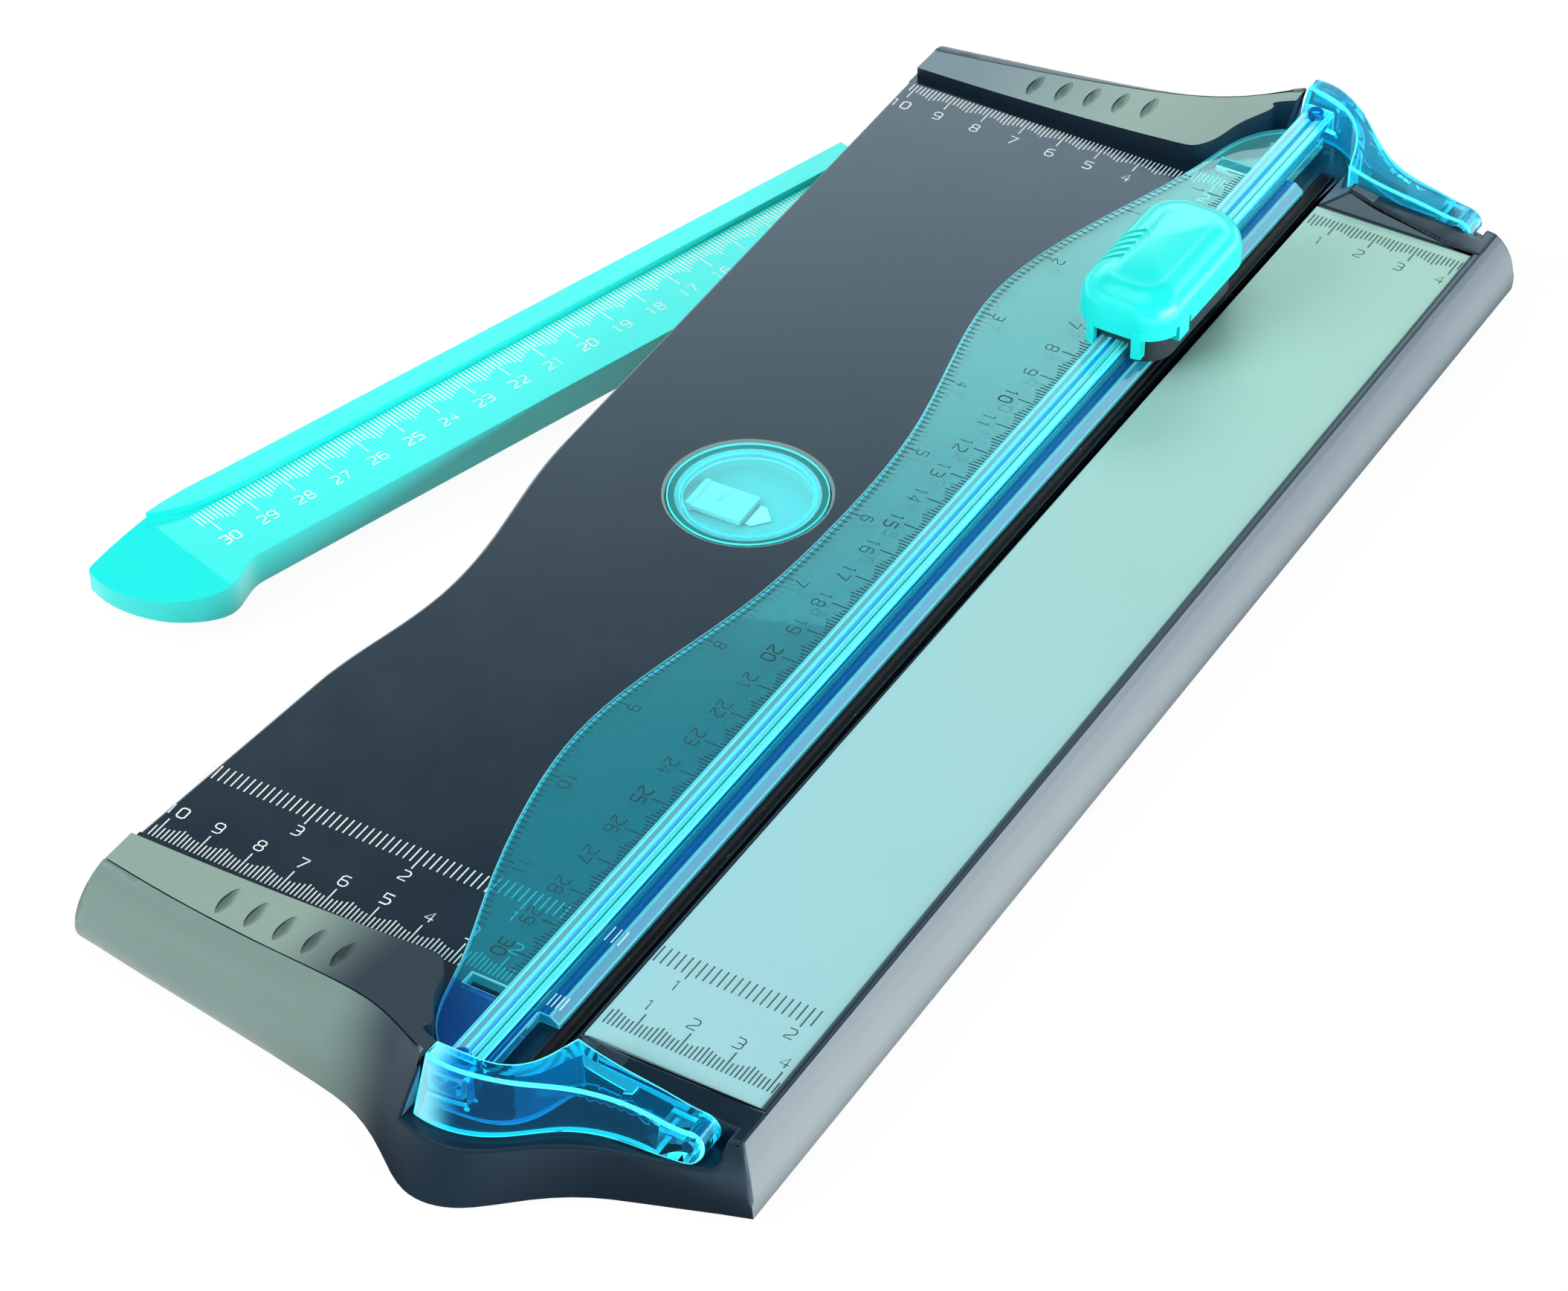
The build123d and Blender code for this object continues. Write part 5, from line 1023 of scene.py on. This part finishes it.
def lay_floor(scene, studio):
    """Paper that is white to the eye, keeps the shadow, and has cards on it that only gloss sees."""
    bm = bmesh.new()
    bmesh.ops.create_grid(bm, x_segments=4, y_segments=4, size=FLOOR_HALF)
    mesh = bpy.data.meshes.new("floor")
    bm.to_mesh(mesh)
    bm.free()
    floor = bpy.data.objects.new("floor", mesh)
    scene.collection.objects.link(floor)
    material, tree, place = begin("floor_paper")
    paper = put(
        tree,
        "BsdfPrincipled",
        {"Base Color": toned(tree, place, FLOOR_TONE, scale=3.0, drift=0.01)},
        Roughness=0.9,
        Specular_IOR_Level=0.1,
    )
    path = put(tree, "LightPath").outputs
    across = put(tree, "SeparateXYZ", {"Vector": place}).outputs["X"]
    right = ranged(tree, across, NO_CARD, RIGHT_CARD * studio.card, RIGHT_CARD_X)
    left = ranged(tree, across, LEFT_CARD * studio.card, NO_CARD, LEFT_CARD_X)
    bright = ranged(tree, path["Is Glossy Ray"], FLOOR_WHITE, brightest(tree, right, left))
    white = put(tree, "Emission", {"Strength": bright}, Color=rgba(WHITE))
    seen = brightest(tree, path["Is Camera Ray"], path["Is Transmission Ray"], path["Is Glossy Ray"])
    share = put(tree, "Math", {0: seen}, operation="MULTIPLY")
    share.inputs[1].default_value = WHITE_SHARE
    mix = put(
        tree,
        "MixShader",
        {0: share.outputs[0], 1: paper.outputs["BSDF"], 2: white.outputs["Emission"]},
    )
    put(tree, "OutputMaterial", {"Surface": mix.outputs["Shader"]})
    mesh.materials.append(material)


def set_lamps(scene, studio):
    """The four soft lamps."""
    for name, (setting, size, spot, target, in_gloss) in LAMPS.items():
        light = bpy.data.lights.new(name, "AREA")
        light.energy = getattr(studio, setting)
        light.shape = "RECTANGLE"
        light.size, light.size_y = size
        lamp = bpy.data.objects.new(name, light)
        scene.collection.objects.link(lamp)
        aim(lamp, spot, target)
        lamp.visible_glossy = in_gloss


def make_room(scene, studio):
    """White surroundings, where gloss sees a glow halfway up at the far end and little overhead."""
    world = bpy.data.worlds.new("studio")
    world.use_nodes = True
    tree = world.node_tree
    tree.nodes.clear()
    path = put(tree, "LightPath").outputs
    seen = brightest(tree, path["Is Camera Ray"], path["Is Transmission Ray"])
    toward = put(tree, "SeparateXYZ", {"Vector": put(tree, "TexCoord").outputs["Generated"]}).outputs
    sides = ranged(tree, toward["Y"], SIDE_LEVEL, studio.glow, GLOW_Y)
    low = ranged(tree, toward["Z"], FOOT_LEVEL, sides, GLOW_Z)
    room = ranged(tree, toward["Z"], low, studio.dim, DIM_Z)
    shone = ranged(tree, path["Is Glossy Ray"], studio.around, room)
    strength = ranged(tree, seen, shone, 1.0)
    tint = blended(tree, seen, ROOM_TINT, WHITE)
    sky = put(tree, "Background", {"Strength": strength, "Color": tint})
    put(tree, "OutputWorld", {"Surface": sky.outputs["Background"]})
    scene.world = world


def set_camera(scene, studio):
    """The camera, where the picture was taken from."""
    lens = bpy.data.cameras.new("camera")
    lens.lens = studio.lens
    lens.sensor_width = SENSOR
    lens.clip_start, lens.clip_end = 0.01, 20.0
    camera = bpy.data.objects.new("camera", lens)
    scene.collection.objects.link(camera)
    right, down = Vector(CAMERA_RIGHT), Vector(CAMERA_DOWN)
    turn = Matrix((right, -down, -right.cross(down))).transposed().to_4x4()
    camera.matrix_world = Matrix.Translation(studio.camera) @ turn
    scene.camera = camera


class TRIMMER_OT_studio(bpy.types.Operator):
    """Floor, lamps, surroundings and camera."""

    bl_idname = "trimmer.studio"
    bl_label = "Studio"

    def execute(self, context):
        scene = context.scene
        scene.view_settings.view_transform = "Standard"
        for step in (lay_floor, set_lamps, make_room, set_camera):
            step(scene, scene.trimmer_studio)
        return {"FINISHED"}


STEPS = (
    TRIMMER_OT_studio,
    TRIMMER_OT_base,
    TRIMMER_OT_underside,
    TRIMMER_OT_rail_frame,
    TRIMMER_OT_slider,
    TRIMMER_OT_window,
    TRIMMER_OT_ruler,
    TRIMMER_OT_deck_scales,
    TRIMMER_OT_plate_scales,
)


class TRIMMER_PT_panel(bpy.types.Panel):
    """Lists the trimmer's settings and its pieces."""

    bl_idname = "TRIMMER_PT_panel"
    bl_label = "Paper Trimmer"
    bl_space_type = "VIEW_3D"
    bl_region_type = "UI"
    bl_category = "Trimmer"

    def draw(self, context):
        for group in GROUPS:
            settings = getattr(context.scene, group)
            box = self.layout.box()
            for key in settings.bl_rna.properties.keys():
                if key not in ("rna_type", "name"):
                    box.prop(settings, key)
        for step in STEPS:
            self.layout.operator(step.bl_idname)


GROUPS = {
    "trimmer_finish": TrimmerFinish,
    "trimmer_sizes": TrimmerSizes,
    "trimmer_studio": TrimmerStudio,
}


def register():
    """Registers the settings, the pieces' operators and the panel."""
    for key, group in GROUPS.items():
        bpy.utils.register_class(group)
        setattr(bpy.types.Scene, key, PointerProperty(type=group))
    for made in (*STEPS, TRIMMER_PT_panel):
        bpy.utils.register_class(made)


def unregister():
    """Takes them away again."""
    for made in (TRIMMER_PT_panel, *reversed(STEPS)):
        bpy.utils.unregister_class(made)
    for key, group in GROUPS.items():
        delattr(bpy.types.Scene, key)
        bpy.utils.unregister_class(group)


def main():
    """Makes every piece in order."""
    register()
    bpy.ops.trimmer.studio()
    bpy.ops.trimmer.base()
    bpy.ops.trimmer.underside()
    bpy.ops.trimmer.rail_frame()
    bpy.ops.trimmer.slider()
    bpy.ops.trimmer.window()
    bpy.ops.trimmer.ruler()
    bpy.ops.trimmer.deck_scales()
    bpy.ops.trimmer.plate_scales()


if __name__ == "__main__":
    main()
